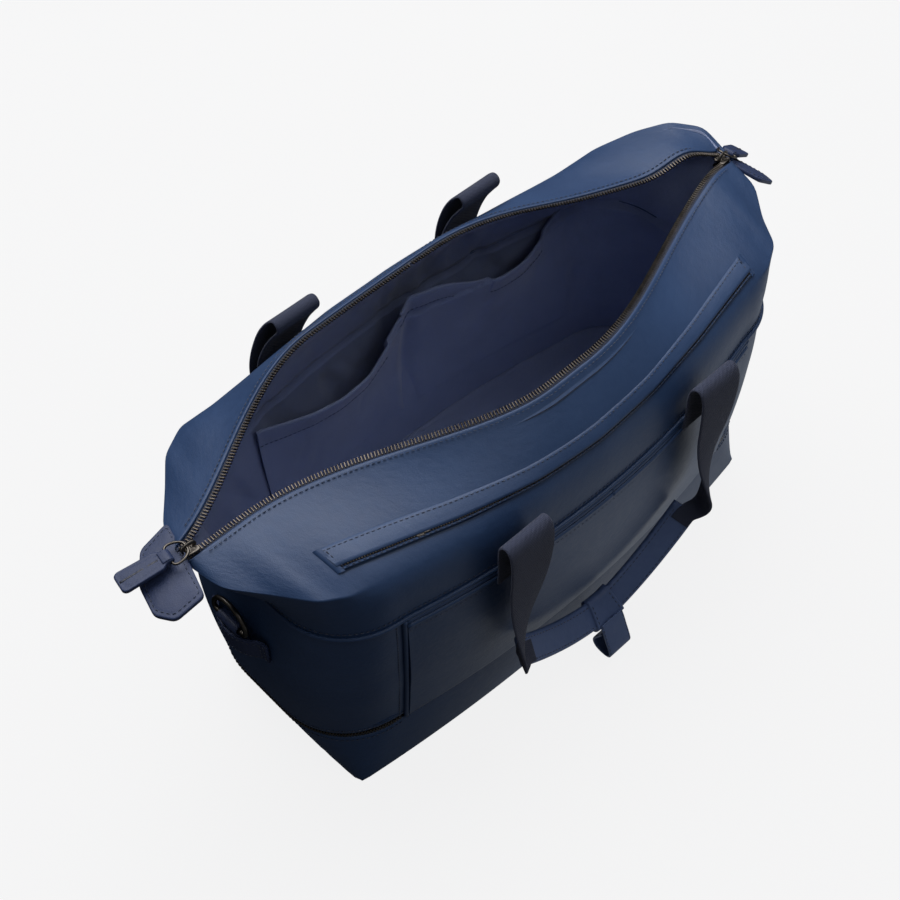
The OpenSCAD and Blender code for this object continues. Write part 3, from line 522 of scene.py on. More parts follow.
for n in ("base_zip_tape", "base_zip_teeth", "base_edge_stitch", "base_tray_shell"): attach(bpy.data.objects[n], "base")
for n in ("body_zip_tape", "body_zip_teeth"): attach(bpy.data.objects[n], "upper")

# ------------------------------------------------------------------ upper shell, one quadrant at a time
REP_W = {"FL": ("front_panel", "left_end_panel"), "FR": ("front_panel", "right_end_panel"), "BL": ("back_panel", "left_end_panel"), "BR": ("back_panel", "right_end_panel")}
REP_R = {"FL": ("front_roof", "left_wing", "left_gusset"), "FR": ("front_roof", "right_wing", "right_gusset"), "BL": ("back_roof", "left_wing", "left_gusset"), "BR": ("back_roof", "right_wing", "right_gusset")}
Uq = np.concatenate([np.linspace(0, US, 45), np.linspace(US, 1, 40)[1:]])
for (sx, sy), tag in TAGS.items():
    fl = sx * sy > 0
    face = BODY[sy].split("_")[0]; end = "left" if sx < 0 else "right"
    # wall below the belt, its lower edge folded in over the zip
    zs = np.concatenate([[67, 63.4, 62.9, 63.3, 64.4], np.linspace(67, BELT_Z, 34)]); os_ = np.concatenate([[-2.4, -1.9, -1.2, -.3, 0], np.zeros(34)])
    lowfront = (sy < 0)
    P = np.stack([W3(sx, sy, Uq, np.full(Uq.shape, z), np.full(Uq.shape, o)) for z, o in zip(zs, os_)])
    if lowfront:   # no zip across the pocket: the wall runs on down to the tray
        f = sstep((US + 0.01 - Uq) / 0.02)
        for i in range(5): P[i, :, 2] -= f * (P[i, :, 2] - (57.6 + i * 1.3))
    if sy < 0:
        g = np.exp(-((Uq - US - .055) / .05) ** 2) * (Uq > US)
        P[:5, :, 2] += 5.0 * g; P[5:9, :, 2] += (g * np.array([4.2, 3.0, 1.8, .7])[:, None]); P[:5, :, 1] -= 1.6 * g
    wr = (1 - sstep((Uq - .88) / .1))[None, :] * noise2(P[..., 0], P[..., 2], 11 + 2 * sy, 120, 55) * np.sin(math.pi * np.clip((P[..., 2] - 66) / 147, 0, 1)) * 1.3
    ue = sstep((Uq - .72) / .1)[None, :]
    P[..., 1] += sy * wr * (1 - ue); P[..., 0] += sx * wr * ue
    o = grid("wall_" + tag, P, NAVY, flip=fl, thick=1.6, off=-1)
    done(join(o), "navy_leather", *REP_W[tag])
    # upper sheet
    T = np.concatenate([np.linspace(0, .36, 14), np.linspace(.385, .415, 4), np.linspace(.44, 1, 30)])
    Q = S3(sx, sy, Uq[None, :], T[:, None])
    ex = np.clip(mouth_x(Uq), 0, 276)
    f1 = mouth(sx, sy, ex, LEATHER_Y - .7, -0.5) ; f2 = mouth(sx, sy, ex, LEATHER_Y - .7, -1.6); f3 = mouth(sx, sy, ex, LEATHER_Y + .2, -2.4); f4 = mouth(sx, sy, ex, LEATHER_Y + 9 * np.clip((266 - ex) / 30, 0, 1), -3.4)
    Q = np.concatenate([Q, np.stack([f1, f2, f3, f4])])
    o = grid("roof_" + tag, Q, NAVY, flip=fl)
    done(join(o), "navy_leather", *REP_R[tag])
    o = stitches("mouth_stitch_" + tag, mouth(sx, sy, np.linspace(1, 262, 250), LEATHER_Y + 3.2, 0.15) , (0, sy * .3, 1))
    done(join(o), "thread", *REP_R[tag])
    # tape and teeth of the top zip
    xz = np.linspace(0, 276, 140)
    Z = np.stack([mouth(sx, sy, xz, 2.7 + (y - 2.7) * np.clip((272 - xz) / 30, 0.1, 1), d) for y, d in ((16, -4.2), (9, -2.6), (5, -1.8), (2.7, -1.7))])
    o = grid("top_tape_" + tag, Z, TAPE, flip=fl, thick=0.8, off=0)
    done(join(o), "lining_fabric", face + "_zip_tape", "end_zip_chains")
    c = mouth(sx, sy, xz, 1.9, -1.7); cn = np.cross(np.gradient(c, axis=0), mouth(sx, sy, xz, 6, -1.7) - c); cn *= np.sign(cn[:, 2:3])
    o = zipline(c, cn, half=(.62, 2.2, .95), shift=0.0 if sy < 0 else 0.5, name="top_teeth_" + tag)
    done(join(o), "gunmetal", face + "_zip_chain", "end_zip_chains")
    # belt piping with its seam
    us = np.linspace(0, 1, 150)
    pp = W3(sx, sy, us, np.full(150, BELT_Z), 0.9); nn = pp - W3(sx, sy, us, np.full(150, BELT_Z), -4)
    o = sweep("belt_piping_" + tag, pp, (0, 0, 1), circ(1.75, 10), NAVY, caps=False)
    done(join(o), "navy_leather", face + "_piping", "end_piping")
    o = stitches("belt_stitch_" + tag, S3(sx, sy, us, np.full(150, 0.045)) + nn / np.linalg.norm(nn, axis=1)[:, None] * .3, nn)
    done(join(o), "thread", face + "_piping", "end_piping")
    o = stitches("wall_edge_stitch_" + tag, W3(sx, sy, us[(us > US) | (sy > 0)], 68.2, .2), nn[(us > US) | (sy > 0)])
    done(join(o), "thread", face + "_panel")

# ------------------------------------------------------------------ lining: creased cloth hung inside
def wrinkle(x, z, seed, amp):
    a = noise2(x, z, seed, 55, 90) + 0.6 * noise2(x + 18 * noise2(x, z, seed + 3, 70, 70), z, seed + 1, 24, 60) + 0.35 * noise2(x, z + 10 * noise2(x, z, seed + 4, 40, 40), seed + 2, 12, 26)
    r = 1 - np.abs(np.clip(a, -1, 1)) * 1.6
    return amp * (0.6 * a + 0.4 * r)
def inner_pt(sx, sy, u, s, off):
    """Inside face: s from 0 on the floor to 1 at the mouth; off inwards."""
    u, s = np.broadcast_arrays(np.asarray(u, float), np.asarray(s, float))
    k = 0.52
    zz = mix(68.0, BELT_Z, np.clip(s / k, 0, 1))
    a = W3(sx, sy, u, zz, -off * 1.0)
    b = S3(sx, sy, u, np.clip((s - k) / (1 - k), 0, 1))
    q = np.where((s <= k)[..., None], a, b)
    return q
for (sx, sy), tag in TAGS.items():
    fl = sx * sy > 0; face = BODY[sy].split("_")[0]; end = "left" if sx < 0 else "right"
    Sx = np.linspace(0, 0.985, 84); Ul = np.linspace(0, 1, 120)
    Q = inner_pt(sx, sy, Ul[None, :], Sx[:, None], 5.0)
    Qe = 0.004
    du = inner_pt(sx, sy, np.clip(Ul + Qe, 0, 1)[None, :], Sx[:, None], 5.0) - inner_pt(sx, sy, np.clip(Ul - Qe, 0, 1)[None, :], Sx[:, None], 5.0)
    ds = inner_pt(sx, sy, Ul[None, :], np.clip(Sx + Qe, 0, 1)[:, None], 5.0) - inner_pt(sx, sy, Ul[None, :], np.clip(Sx - Qe, 0, 1)[:, None], 5.0)
    n = np.cross(du, ds) * (1 if fl else -1); n /= np.linalg.norm(n, axis=-1)[..., None] + 1e-9   # inwards
    upper = sstep((Sx - 0.50) / 0.05)[:, None]
    drop = 3.2 + 4.5 * np.sin(math.pi * np.clip((Sx - 0.5) / 0.5, 0, 1))[:, None] * (1 - 0.6 * sstep((Ul - 0.6) / .1))[None, :]
    inset = upper * drop * (1 - 0.5 * sstep((Sx - 0.93) / 0.05)[:, None])
    wrk = wrinkle(Q[..., 0], Q[..., 2] + .5 * Q[..., 1], 60 + sx + 3 * sy, 5.0) * (0.15 + 0.85 * np.sin(math.pi * np.clip(Sx, 0, 1))[:, None]) * sstep(Ul / .04)[None, :] * sstep((1.0 - Ul) / .05)[None, :]
    mid = np.clip((Q[..., 2] - 70) / 30, 0, 1)
    Q = Q + n * (inset + np.maximum(wrk + 1.5, -1.2) * mid)[..., None]
    Q[..., 0] = np.where(Ul[None, :] <= 0, 0, Q[..., 0]); Q[..., 1] = np.where(Ul[None, :] >= 1, np.where(np.abs(Q[..., 1]) < 2.5, 0, Q[..., 1]), Q[..., 1])
    o = grid("lining_" + tag, Q, LINING, flip=not fl)
    done(join(o), "lining_fabric", face + "_lining", end + "_end_lining")
# floor of the bag
rr = np.stack([W3(sx, sy, np.array([u]), np.array([66.0]), -4.5)[0] for sx, sy, u in RC])
fr = []
for f in (0.0005, .2, .4, .6, .8, .93, .985, 1.0):
    p = rr * np.array([f, f, 0]); h = 66.6 + wrinkle(p[:, 0], p[:, 1], 5, 1.2) * (f < .95) + (1.5 if f == 1.0 else 0)
    fr.append(p + np.stack([0 * h, 0 * h, h], -1))
fb = [rr * np.array([f, f, 0]) + np.array([0, 0, z]) for f, z in ((1.0, 63.8), (.99, 62.9), (.5, 62.9), (.0005, 62.9))]
o = grid("bag_floor", np.array(fr + fb), LINING, wrap=True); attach(o, "upper"); done(o, "lining_fabric", "divider_floor")
# open pocket on the back lining: two bays, hemmed lip, stitched divider
hx = np.array([-150, -128, -103, -75, -45, -17, 13, 30, 47, 75, 102, 129, 150, 170, 186]); hz = np.array([208, 205, 202, 199, 199, 214, 238, 238, 234, 218, 209, 206, 210, 218, 222]); hg = np.array([3, 14, 25, 31, 31, 28, 24, 26, 29, 31, 29, 23, 15, 7, 1.0])
for (sx, sy), tag in (((-1, 1), "BL"), ((1, 1), "BR")):
    xp = np.linspace(0, 150 if sx < 0 else 186, 70)
    top = np.interp(sx * xp, hx, hz); gap = np.interp(sx * xp, hx, hg)
    top = np.convolve(np.pad(top, 3, "edge"), np.ones(7) / 7, "valid"); gap = np.convolve(np.pad(gap, 3, "edge"), np.ones(7) / 7, "valid")
    uu = xp / POCKET_X * US
    rowsP = []
    for f in np.linspace(0, 1, 40):
        z = mix(100.0, 1, 0) * (1 - f) + top * f
        base = W3(sx, 1, uu, np.minimum(z, BELT_Z), -8.5)
        over = S3(sx, 1, uu, np.clip((z - BELT_Z) / 110, 0, 1), inset=8.5)
        b_ = np.where((z > BELT_Z)[:, None], over, base)
        b_[:, 2] = z
        w = wrinkle(sx * xp, z, 91, 1.6) * math.sin(math.pi * min(1, f * 1.05)) * (1 if f < .93 else .4)
        b_[:, 1] -= gap * f ** 1.6 + np.maximum(w, -1)
        if sx > 0: b_[:, 1] += 7 * np.exp(-((xp - 13) / 7) ** 2) * (1 - .5 * f)
        rowsP.append(b_)
    Pk = np.stack(rowsP)
    o = grid("slip_pocket_" + tag, Pk, LINING, flip=True, thick=0.9, off=0); done(join(o), "lining_fabric", "back_slip_pocket")
    hemr = []
    k = [(-1.3, -19), (-1.6, -14), (-1.7, -7), (-1.5, -1.0), (-0.9, 0.6), (0.4, 1.0), (1.4, 0.2), (1.6, -9)]
    for dy, dz in k:
        r_ = Pk[-1].copy(); f = np.clip(-dz / (top - 100), 0, 1)
        r_[:, 1] += dy + gap * (1 - (1 - f) ** 1.6) * (dz < 0); r_[:, 2] += dz; hemr.append(r_)
    o = grid("slip_hem_" + tag, np.stack(hemr), HEM, flip=True); done(join(o), "lining_fabric", "back_slip_pocket")
    hp = hemr[1].copy(); hp[:, 2] -= 2.5; hp[:, 1] -= .35
    o = stitches("slip_stitch_" + tag, hp, (0, -1, 0.3)); done(join(o), "thread", "back_slip_pocket")

# ------------------------------------------------------------------ front pocket
PZ0, PZ1 = 63.0, 205.0
for sx in (-1, 1):
    sy = -1; tag = TAGS[(sx, sy)]; fl = sx * sy > 0
    up = np.linspace(0, US - 0.004, 60); zz = np.concatenate([[PZ0], np.linspace(PZ0 + .8, PZ1 - 1, 36), [PZ1]])
    oo = 2.6 + 1.6 * np.sin(math.pi * np.clip((zz - PZ0) / (PZ1 - PZ0), 0, 1)); oo[0] = 1.0; oo[-1] = 2.4
    P = np.stack([W3(sx, sy, up, z, o_) for z, o_ in zip(zz, oo)])
    wv = noise2(P[..., 0], P[..., 2], 77, 150, 45) * 1.6 * np.sin(math.pi * np.clip((P[..., 2] - PZ0) / (PZ1 - PZ0), 0, 1)); P[..., 1] -= 0.8 + 0.8 * wv
    o = grid("pocket_" + tag, P, NAVY, flip=fl, thick=1.4, off=-1); done(join(o), "navy_leather", "front_pocket")
    # double lip: pocket lip with its stitch, and the panel's own lip just behind and above
    for nm, z0, o0, r in (("lip", PZ1, 2.6, 2.0), ("upper_lip", PZ1 + 4.4, 1.5, 1.7)):
        pl = W3(sx, sy, up, z0, o0)
        o = sweep("pocket_%s_%s" % (nm, tag), pl, (0, 0, 1), np.stack([r * 1.0 * np.cos(np.arange(12) * math.pi / 6), r * 1.1 * np.sin(np.arange(12) * math.pi / 6)], -1), NAVY)
        done(join(o), "navy_leather", "front_pocket")
    o = stitches("pocket_lip_stitch_" + tag, W3(sx, sy, up, PZ1 - 6, 3.4), W3(sx, sy, up, PZ1 - 6, 6) - W3(sx, sy, up, PZ1 - 6, 0)); done(join(o), "thread", "front_pocket")
    zc = np.linspace(ZIP_Z + 1.5, BELT_Z - 1.5, 60); ps = W3(sx, sy, np.full(60, US), zc, 1.4)
    nrm = W3(sx, sy, np.full(60, US), zc, 6) - W3(sx, sy, np.full(60, US), zc, 0); nrm /= np.linalg.norm(nrm, axis=1)[:, None]
    o = sweep("pocket_side_piping_" + tag, ps, nrm, circ(1.9, 12), NAVY); done(join(o), "navy_leather", "front_pocket")
    o = stitches("pocket_side_stitch_" + tag, W3(sx, sy, np.full(60, US + 0.018), zc, .3), nrm); done(join(o), "thread", "front_pocket")
    # seam band on the tray under the pocket
    pb_ = W3(sx, sy, np.linspace(0, US, 60), 59.6, 0.8)
    o = sweep("hinge_piping_" + tag, pb_, (0, 0, 1), circ(1.6, 10), NAVY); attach(o, "upper"); done(o, "navy_leather", "front_pocket")

# ------------------------------------------------------------------ welt pocket let into the front of the roof
WXS = {-1: 214.0, 1: 203.0}; T0, T1 = 0.470, 0.605
def wu(x): return np.interp(np.abs(x), [0, 60, 125, 185, 222], [0, .2, .4, .58, .70])
def welt(x, t, o=0.0):
    x = np.asarray(x, float); t = np.broadcast_to(np.asarray(t, float), x.shape) + 0.075 * (np.clip(-x, 0, None) / 214) ** 1.5; out = np.zeros(x.shape + (3,))
    for sx in (-1, 1):
        k = (x < 0) if sx < 0 else (x >= 0)
        if k.any():
            p = S3(sx, -1, wu(x[k]), t[k]); e = .01
            dn = np.cross(S3(sx, -1, wu(x[k]) + e, t[k]) - S3(sx, -1, np.maximum(wu(x[k]) - e, 0) + 1e-4, t[k]), S3(sx, -1, wu(x[k]), t[k] + e) - S3(sx, -1, wu(x[k]), t[k] - e)) * sx
            dn /= np.linalg.norm(dn, axis=-1)[..., None]
            out[k] = p + dn * np.asarray(o if np.ndim(o) == 0 else np.asarray(o)[k][..., None])
    return out
def wsplit(name, fn, mat, slotn, rep, **kw):
    for sx in (-1, 1):
        xs = np.linspace(0, sx * WXS[sx], 90) if kw.get("full", True) else kw["xs"][sx]
        o = fn(xs, sx); o.name = name + TAGS[(sx, -1)]; done(join(o), slotn, *rep)
wm = mix(T0, T1, .30)     # slit
wsplit("welt_upper_", lambda xs, sx: grid("w", np.stack([welt(xs, t, h) for t, h in ((T1 + .006, .1), (T1, .8), (T1 - .01, 1.1), (mix(wm, T1, .5), 1.5), (wm + .006, 2.3), (wm - .012, 2.2), (wm - .015, 1.4), (wm - .004, .5))]), NAVY, flip=sx > 0), NAVY, "navy_leather", ("welt_frame",))
wsplit("welt_lower_", lambda xs, sx: grid("w", np.stack([welt(xs, t, h) for t, h in ((wm - .022, -1.5), (wm - .03, .7), (wm - .045, 1.4), (mix(T0, wm, .4), 1.1), (T0, .8), (T0 - .007, .1))]), NAVY, flip=sx < 0), NAVY, "navy_leather", ("welt_frame",))
for sx in (-1, 1):
    tg = TAGS[(sx, -1)]
    tt = np.linspace(T0 - .007, T1 + .006, 18)
    ee = [welt(np.full(18, sx * (WXS[sx] + d)), tt, h) for d, h in ((-2, 1.6), (0, 1.5), (2.2, 1.2), (3.4, .1))]
    o = grid("welt_end_" + tg, np.stack(ee, 1), NAVY, flip=sx < 0); done(join(o), "navy_leather", "welt_frame")
    xs = np.linspace(0, sx * WXS[sx], 90)
    for i, tq in enumerate((T1 - .012, T0 + .010)):
        o = stitches("welt_stitch%d_%s" % (i, tg), welt(xs, tq, 1.15 if i == 0 else 1.25), welt(xs, tq, 6) - welt(xs, tq, 0)); done(join(o), "thread", "welt_frame")
    te = np.linspace(T0 + .012, T1 - .014, 20)
    o = stitches("welt_stitch_end_" + tg, welt(np.full(20, sx * (WXS[sx] - 3.2)), te, 1.7), welt(np.full(20, sx * WXS[sx]), te, 6) - welt(np.full(20, sx * WXS[sx]), te, 0)); done(join(o), "thread", "welt_frame")
    tw = (wm + wm - .022) / 2
    o = grid("welt_tape_" + tg, np.stack([welt(xs, t, h) for t, h in ((wm + .02, .5), (wm, .3), (wm - .02, .3), (wm - .03, .5))]), TAPE, flip=sx > 0); done(join(o), "lining_fabric", "welt_zip")
    c = welt(xs, tw, .9); o = zipline(c, welt(xs, tw, 5) - c, pitch=2.0, half=(.55, 1.5, .6), name="welt_teeth_" + tg); done(join(o), "gunmetal", "welt_zip")

# ------------------------------------------------------------------ handles
def ribbon(name, P, A, w, t, mat, edge=None, curl=None, ws=None):
    """Strap along P; A is the direction across it at each point."""
    P = np.asarray(P, float); A = np.broadcast_to(np.asarray(A, float), P.shape)
    T = np.gradient(P, axis=0); T /= np.linalg.norm(T, axis=1)[:, None]
    A = A - T * (A * T).sum(1)[:, None]; A = A / np.linalg.norm(A, axis=1)[:, None]
    N = np.cross(A, T)
    sec = flat(w, t, 3, edge); k = len(sec)
    wk = np.ones(len(P)) if ws is None else np.asarray(ws, float) / w
    V = P[:, None] + A[:, None] * sec[None, :, :1] * wk[:, None, None] + N[:, None] * sec[None, :, 1:]
    if curl is not None: V = V + N[:, None] * (np.asarray(curl)[:, None, None] * ((sec[:, 0] / (w / 2)) ** 2)[None, :, None])
    n = len(P); idx = np.arange(n * k).reshape(n, k); nx = np.roll(idx, -1, 1)
    F = np.stack([idx[:-1], nx[:-1], nx[1:], idx[1:]], -1).reshape(-1, 4)[:, ::-1].tolist() + [idx[0].tolist(), idx[-1][::-1].tolist()]
    L = np.concatenate([[0], np.cumsum(np.linalg.norm(np.diff(P, axis=0), axis=1))]) / 1000
    per = np.concatenate([[0], np.cumsum(np.linalg.norm(np.diff(sec, axis=0), axis=1))]) / 1000
    uvs = np.stack([np.broadcast_to(sec[None, :, 0] / 1000 + (sec[None, :, 1] < 0) * .002, (n, k)), np.broadcast_to(L[:, None], (n, k))], -1)
    o = make(name, V, F, mat, uvs)
    return o, P, A, N
def sm(P, it): return smooth_path(P, it)
def handle(sy, pre):
    face = BODY[sy].split("_")[0]
    for sx in (-1, 1):
        sd = "L" if sx < 0 else "R"
        # up from the box seam, over the fold, down, J-curl, into the grip
        low = [(100.2, 142.6, 178), (102.0, 142.6, 154), (103.8, 142.8, 135), (105.0, 142.8, 121), (105.2, 142.2, 110), (103.8, 140.8, 102.5), (100.6, 138.6, 98.6), (96.2, 136.4, 97.4), (91.0, 134.8, 95.4), (85.0, 134.0, 90.6)]
        alow = [(.96, .28, 0), (.86, .51, 0), (.72, .69, .02), (.56, .82, .06), (.42, .87, .16), (.30, .84, .34), (.19, .77, .52), (.10, .70, .66), (.04, .66, .73), (0, .64, .77)]
        if sy < 0:
            top = [(97, 131.0, 214), (97, 132.0, 228), (97, 132.2, 243), (97, 132.8, 254), (97.1, 135.4, 261), (97.2, 140.2, 262.6), (97.4, 144.2, 258), (97.7, 145.8, 247), (98.2, 145.4, 228), (99.0, 143.6, 203)]
            atop = [(1, 0, 0)] * 8 + [(1, .03, 0), (.99, .10, 0)]
        else:
            low = [(x, min(y, 139.6) - 1.2 * (z < 120), z) for x, y, z in low]
            top = [(97, 131.0, 214), (96.5, 131.2, 232), (96 + 3 * sx, 127.5, 248), (95 + 6 * sx, 121.5, 262), (95 + 8 * sx, 115.0, 272), (95 + 9 * sx, 110.2, 279), (95 + 9 * sx, 109.6, 284.5), (95 + 9 * sx, 114.6, 287), (95 + 8 * sx, 122.5, 280), (96 + 6 * sx, 131, 266), (97 + 3 * sx, 137.2, 247), (98.4, 139.8, 226), (99.2, 139.6, 203)]
            atop = [(1, 0, 0)] * 11 + [(1, .02, 0), (.99, .08, 0)]
        Pk = bez(top + low, 10); Ak = bez(atop + alow, 10)
        w = 41.0
        wl = [41] * len(top) + [40, 36.5, 31.5, 26.5, 22, 18.5, 17, 16.5, 17, 17.5]
        wl = bez([(v, 0, 0) for v in wl], 10)[:, 0]
        Pk = Pk * np.array([sx, sy, 1]); Ak = Ak * np.array([1, -sy, 1])
        Pk = sm(Pk, 6); Ak = sm(Ak, 12)
        o, P, A, N = ribbon(pre + "_leg_" + sd, Pk, Ak, w, 2.0, WEB, ws=wl)
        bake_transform(o)
        done(o, "navy_webbing", pre + "_webbing", pre + "_handle_anchors")
    # grip
    t = np.linspace(-1.04, 1.04, 90); gx = 92 * t; gz = 50 + 45 * np.abs(t) ** 1.7; gy = -131.2 - 0.0 + 2 * (1 - t ** 2)
    G = np.stack([gx, -sy * gy * 1.0 if sy > 0 else gy, gz], -1)
    if sy > 0: G[:, 1] = np.abs(gy)
    Aw = np.stack([np.zeros(90), np.full(90, -sy * 0.64), np.full(90, 0.77)], -1)
    o, P, A, N = ribbon(pre + "_grip_leather", G, Aw, 23.5, 6.4, GRIP_PAINTED_LIGHT, edge=2.6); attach(o, pre + "_handle"); done(o, "trim_leather", pre + "_grip")
    nrm = N * np.sign((N * np.array([0, sy, 0.6])).sum(1))[:, None]
    for i, e in enumerate((-8.6, 8.6)):
        k = np.abs(t) < 1.0
        o = stitches(pre + "_grip_stitch%d" % i, (P + A * e + nrm * 3.25)[k], nrm[k]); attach(o, pre + "_handle"); done(o, "thread", pre + "_grip")
    o = stitches(pre + "_grip_stitch_in", (P + A * 8.6 - nrm * 3.25)[np.abs(t) < 1.0], -nrm[np.abs(t) < 1.0]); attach(o, pre + "_handle"); done(o, "thread", pre + "_grip")
    return P, A, nrm
GP, GA, GN = handle(-1, "front")
handle(1, "back")

# ------------------------------------------------------------------ end hardware
def endx(y, z):
    u = np.linspace(.80, 1, 40); q = W3(1, 1, u, np.full(40, z))
    return float(np.interp(abs(y), q[::-1, 1], q[::-1, 0]))
def rpoly(P, r, k=5):
    P = np.asarray(P, float); out = []
    for i in range(len(P)):
        a, b, c = P[i - 1], P[i], P[(i + 1) % len(P)]
        p = b + (a - b) / np.linalg.norm(a - b) * r; q = b + (c - b) / np.linalg.norm(c - b) * r
        for t in np.linspace(0, 1, k): out.append((1 - t) ** 2 * p + 2 * t * (1 - t) * b + t * t * q)
    return np.array(out)
def slab(name, out2, fn, t, mat, bevel=0.7, rings=(1, .9, .7, .4, .12)):
    """Flat leather part: 2-D outline mapped by fn(a, b, h) with a rounded rim and a slightly raised middle."""
    out2 = np.asarray(out2, float); c = out2.mean(0); V = []; F = []; k = len(out2)
    def inset(o, d):
        v = o - c; L = np.linalg.norm(v, axis=1)[:, None]; return c + v * (1 - d / np.maximum(L, d + .1))
    lay = [(inset(out2, 4.2), -t / 2), (inset(out2, bevel), -t / 2), (out2, -t / 2 + bevel * .7), (out2, t / 2 - bevel * .7), (inset(out2, bevel * .6), t / 2 - .1), (inset(out2, 1.4), t / 2), (inset(out2, 2.6), t / 2 - .22), (inset(out2, 4.4), t / 2 + .12)]
    top = [(c + (inset(out2, 4.4) - c) * f, t / 2 + .12 + .35 * (1 - f)) for f in (.7, .4, .01)]
    bot = [(c + (inset(out2, 4.2) - c) * f, -t / 2) for f in (.01, .5)]
    for o_, h in bot + lay + top: V += [fn(a, b_, h) for a, b_ in o_]
    n = len(bot + lay + top); idx = np.arange(n * k).reshape(n, k); nx = np.roll(idx, -1, 1)
    F = np.stack([idx[:-1], nx[:-1], nx[1:], idx[1:]], -1).reshape(-1, 4)
    V = np.array(V); ctr = V.mean(0); f = V[F]; nn = np.cross(f[:, 1] - f[:, 0], f[:, 2] - f[:, 0])
    mid = (n - 4) * k
    if (nn[(n - 3) * k] @ (np.array(fn(c[0], c[1], t)) - np.array(fn(c[0], c[1], 0)))) < 0: F = F[:, ::-1]
    allo = np.concatenate([o_ for o_, h in bot + lay + top]) / 1000
    return make(name, V, F, mat, allo)
def path_on(out2, fn, h, d):
    c = out2.mean(0); v = out2 - c; L = np.linalg.norm(v, axis=1)[:, None]; o = c + v * (1 - d / L)
    o = np.vstack([o, o[:1]]); return np.array([fn(a, b_, h) for a, b_ in o])
TABP = np.array([(5, 31), (-21, 26), (-38, 4), (-44, -20), (-36, -33), (-12, -33), (-3, -3)], float)
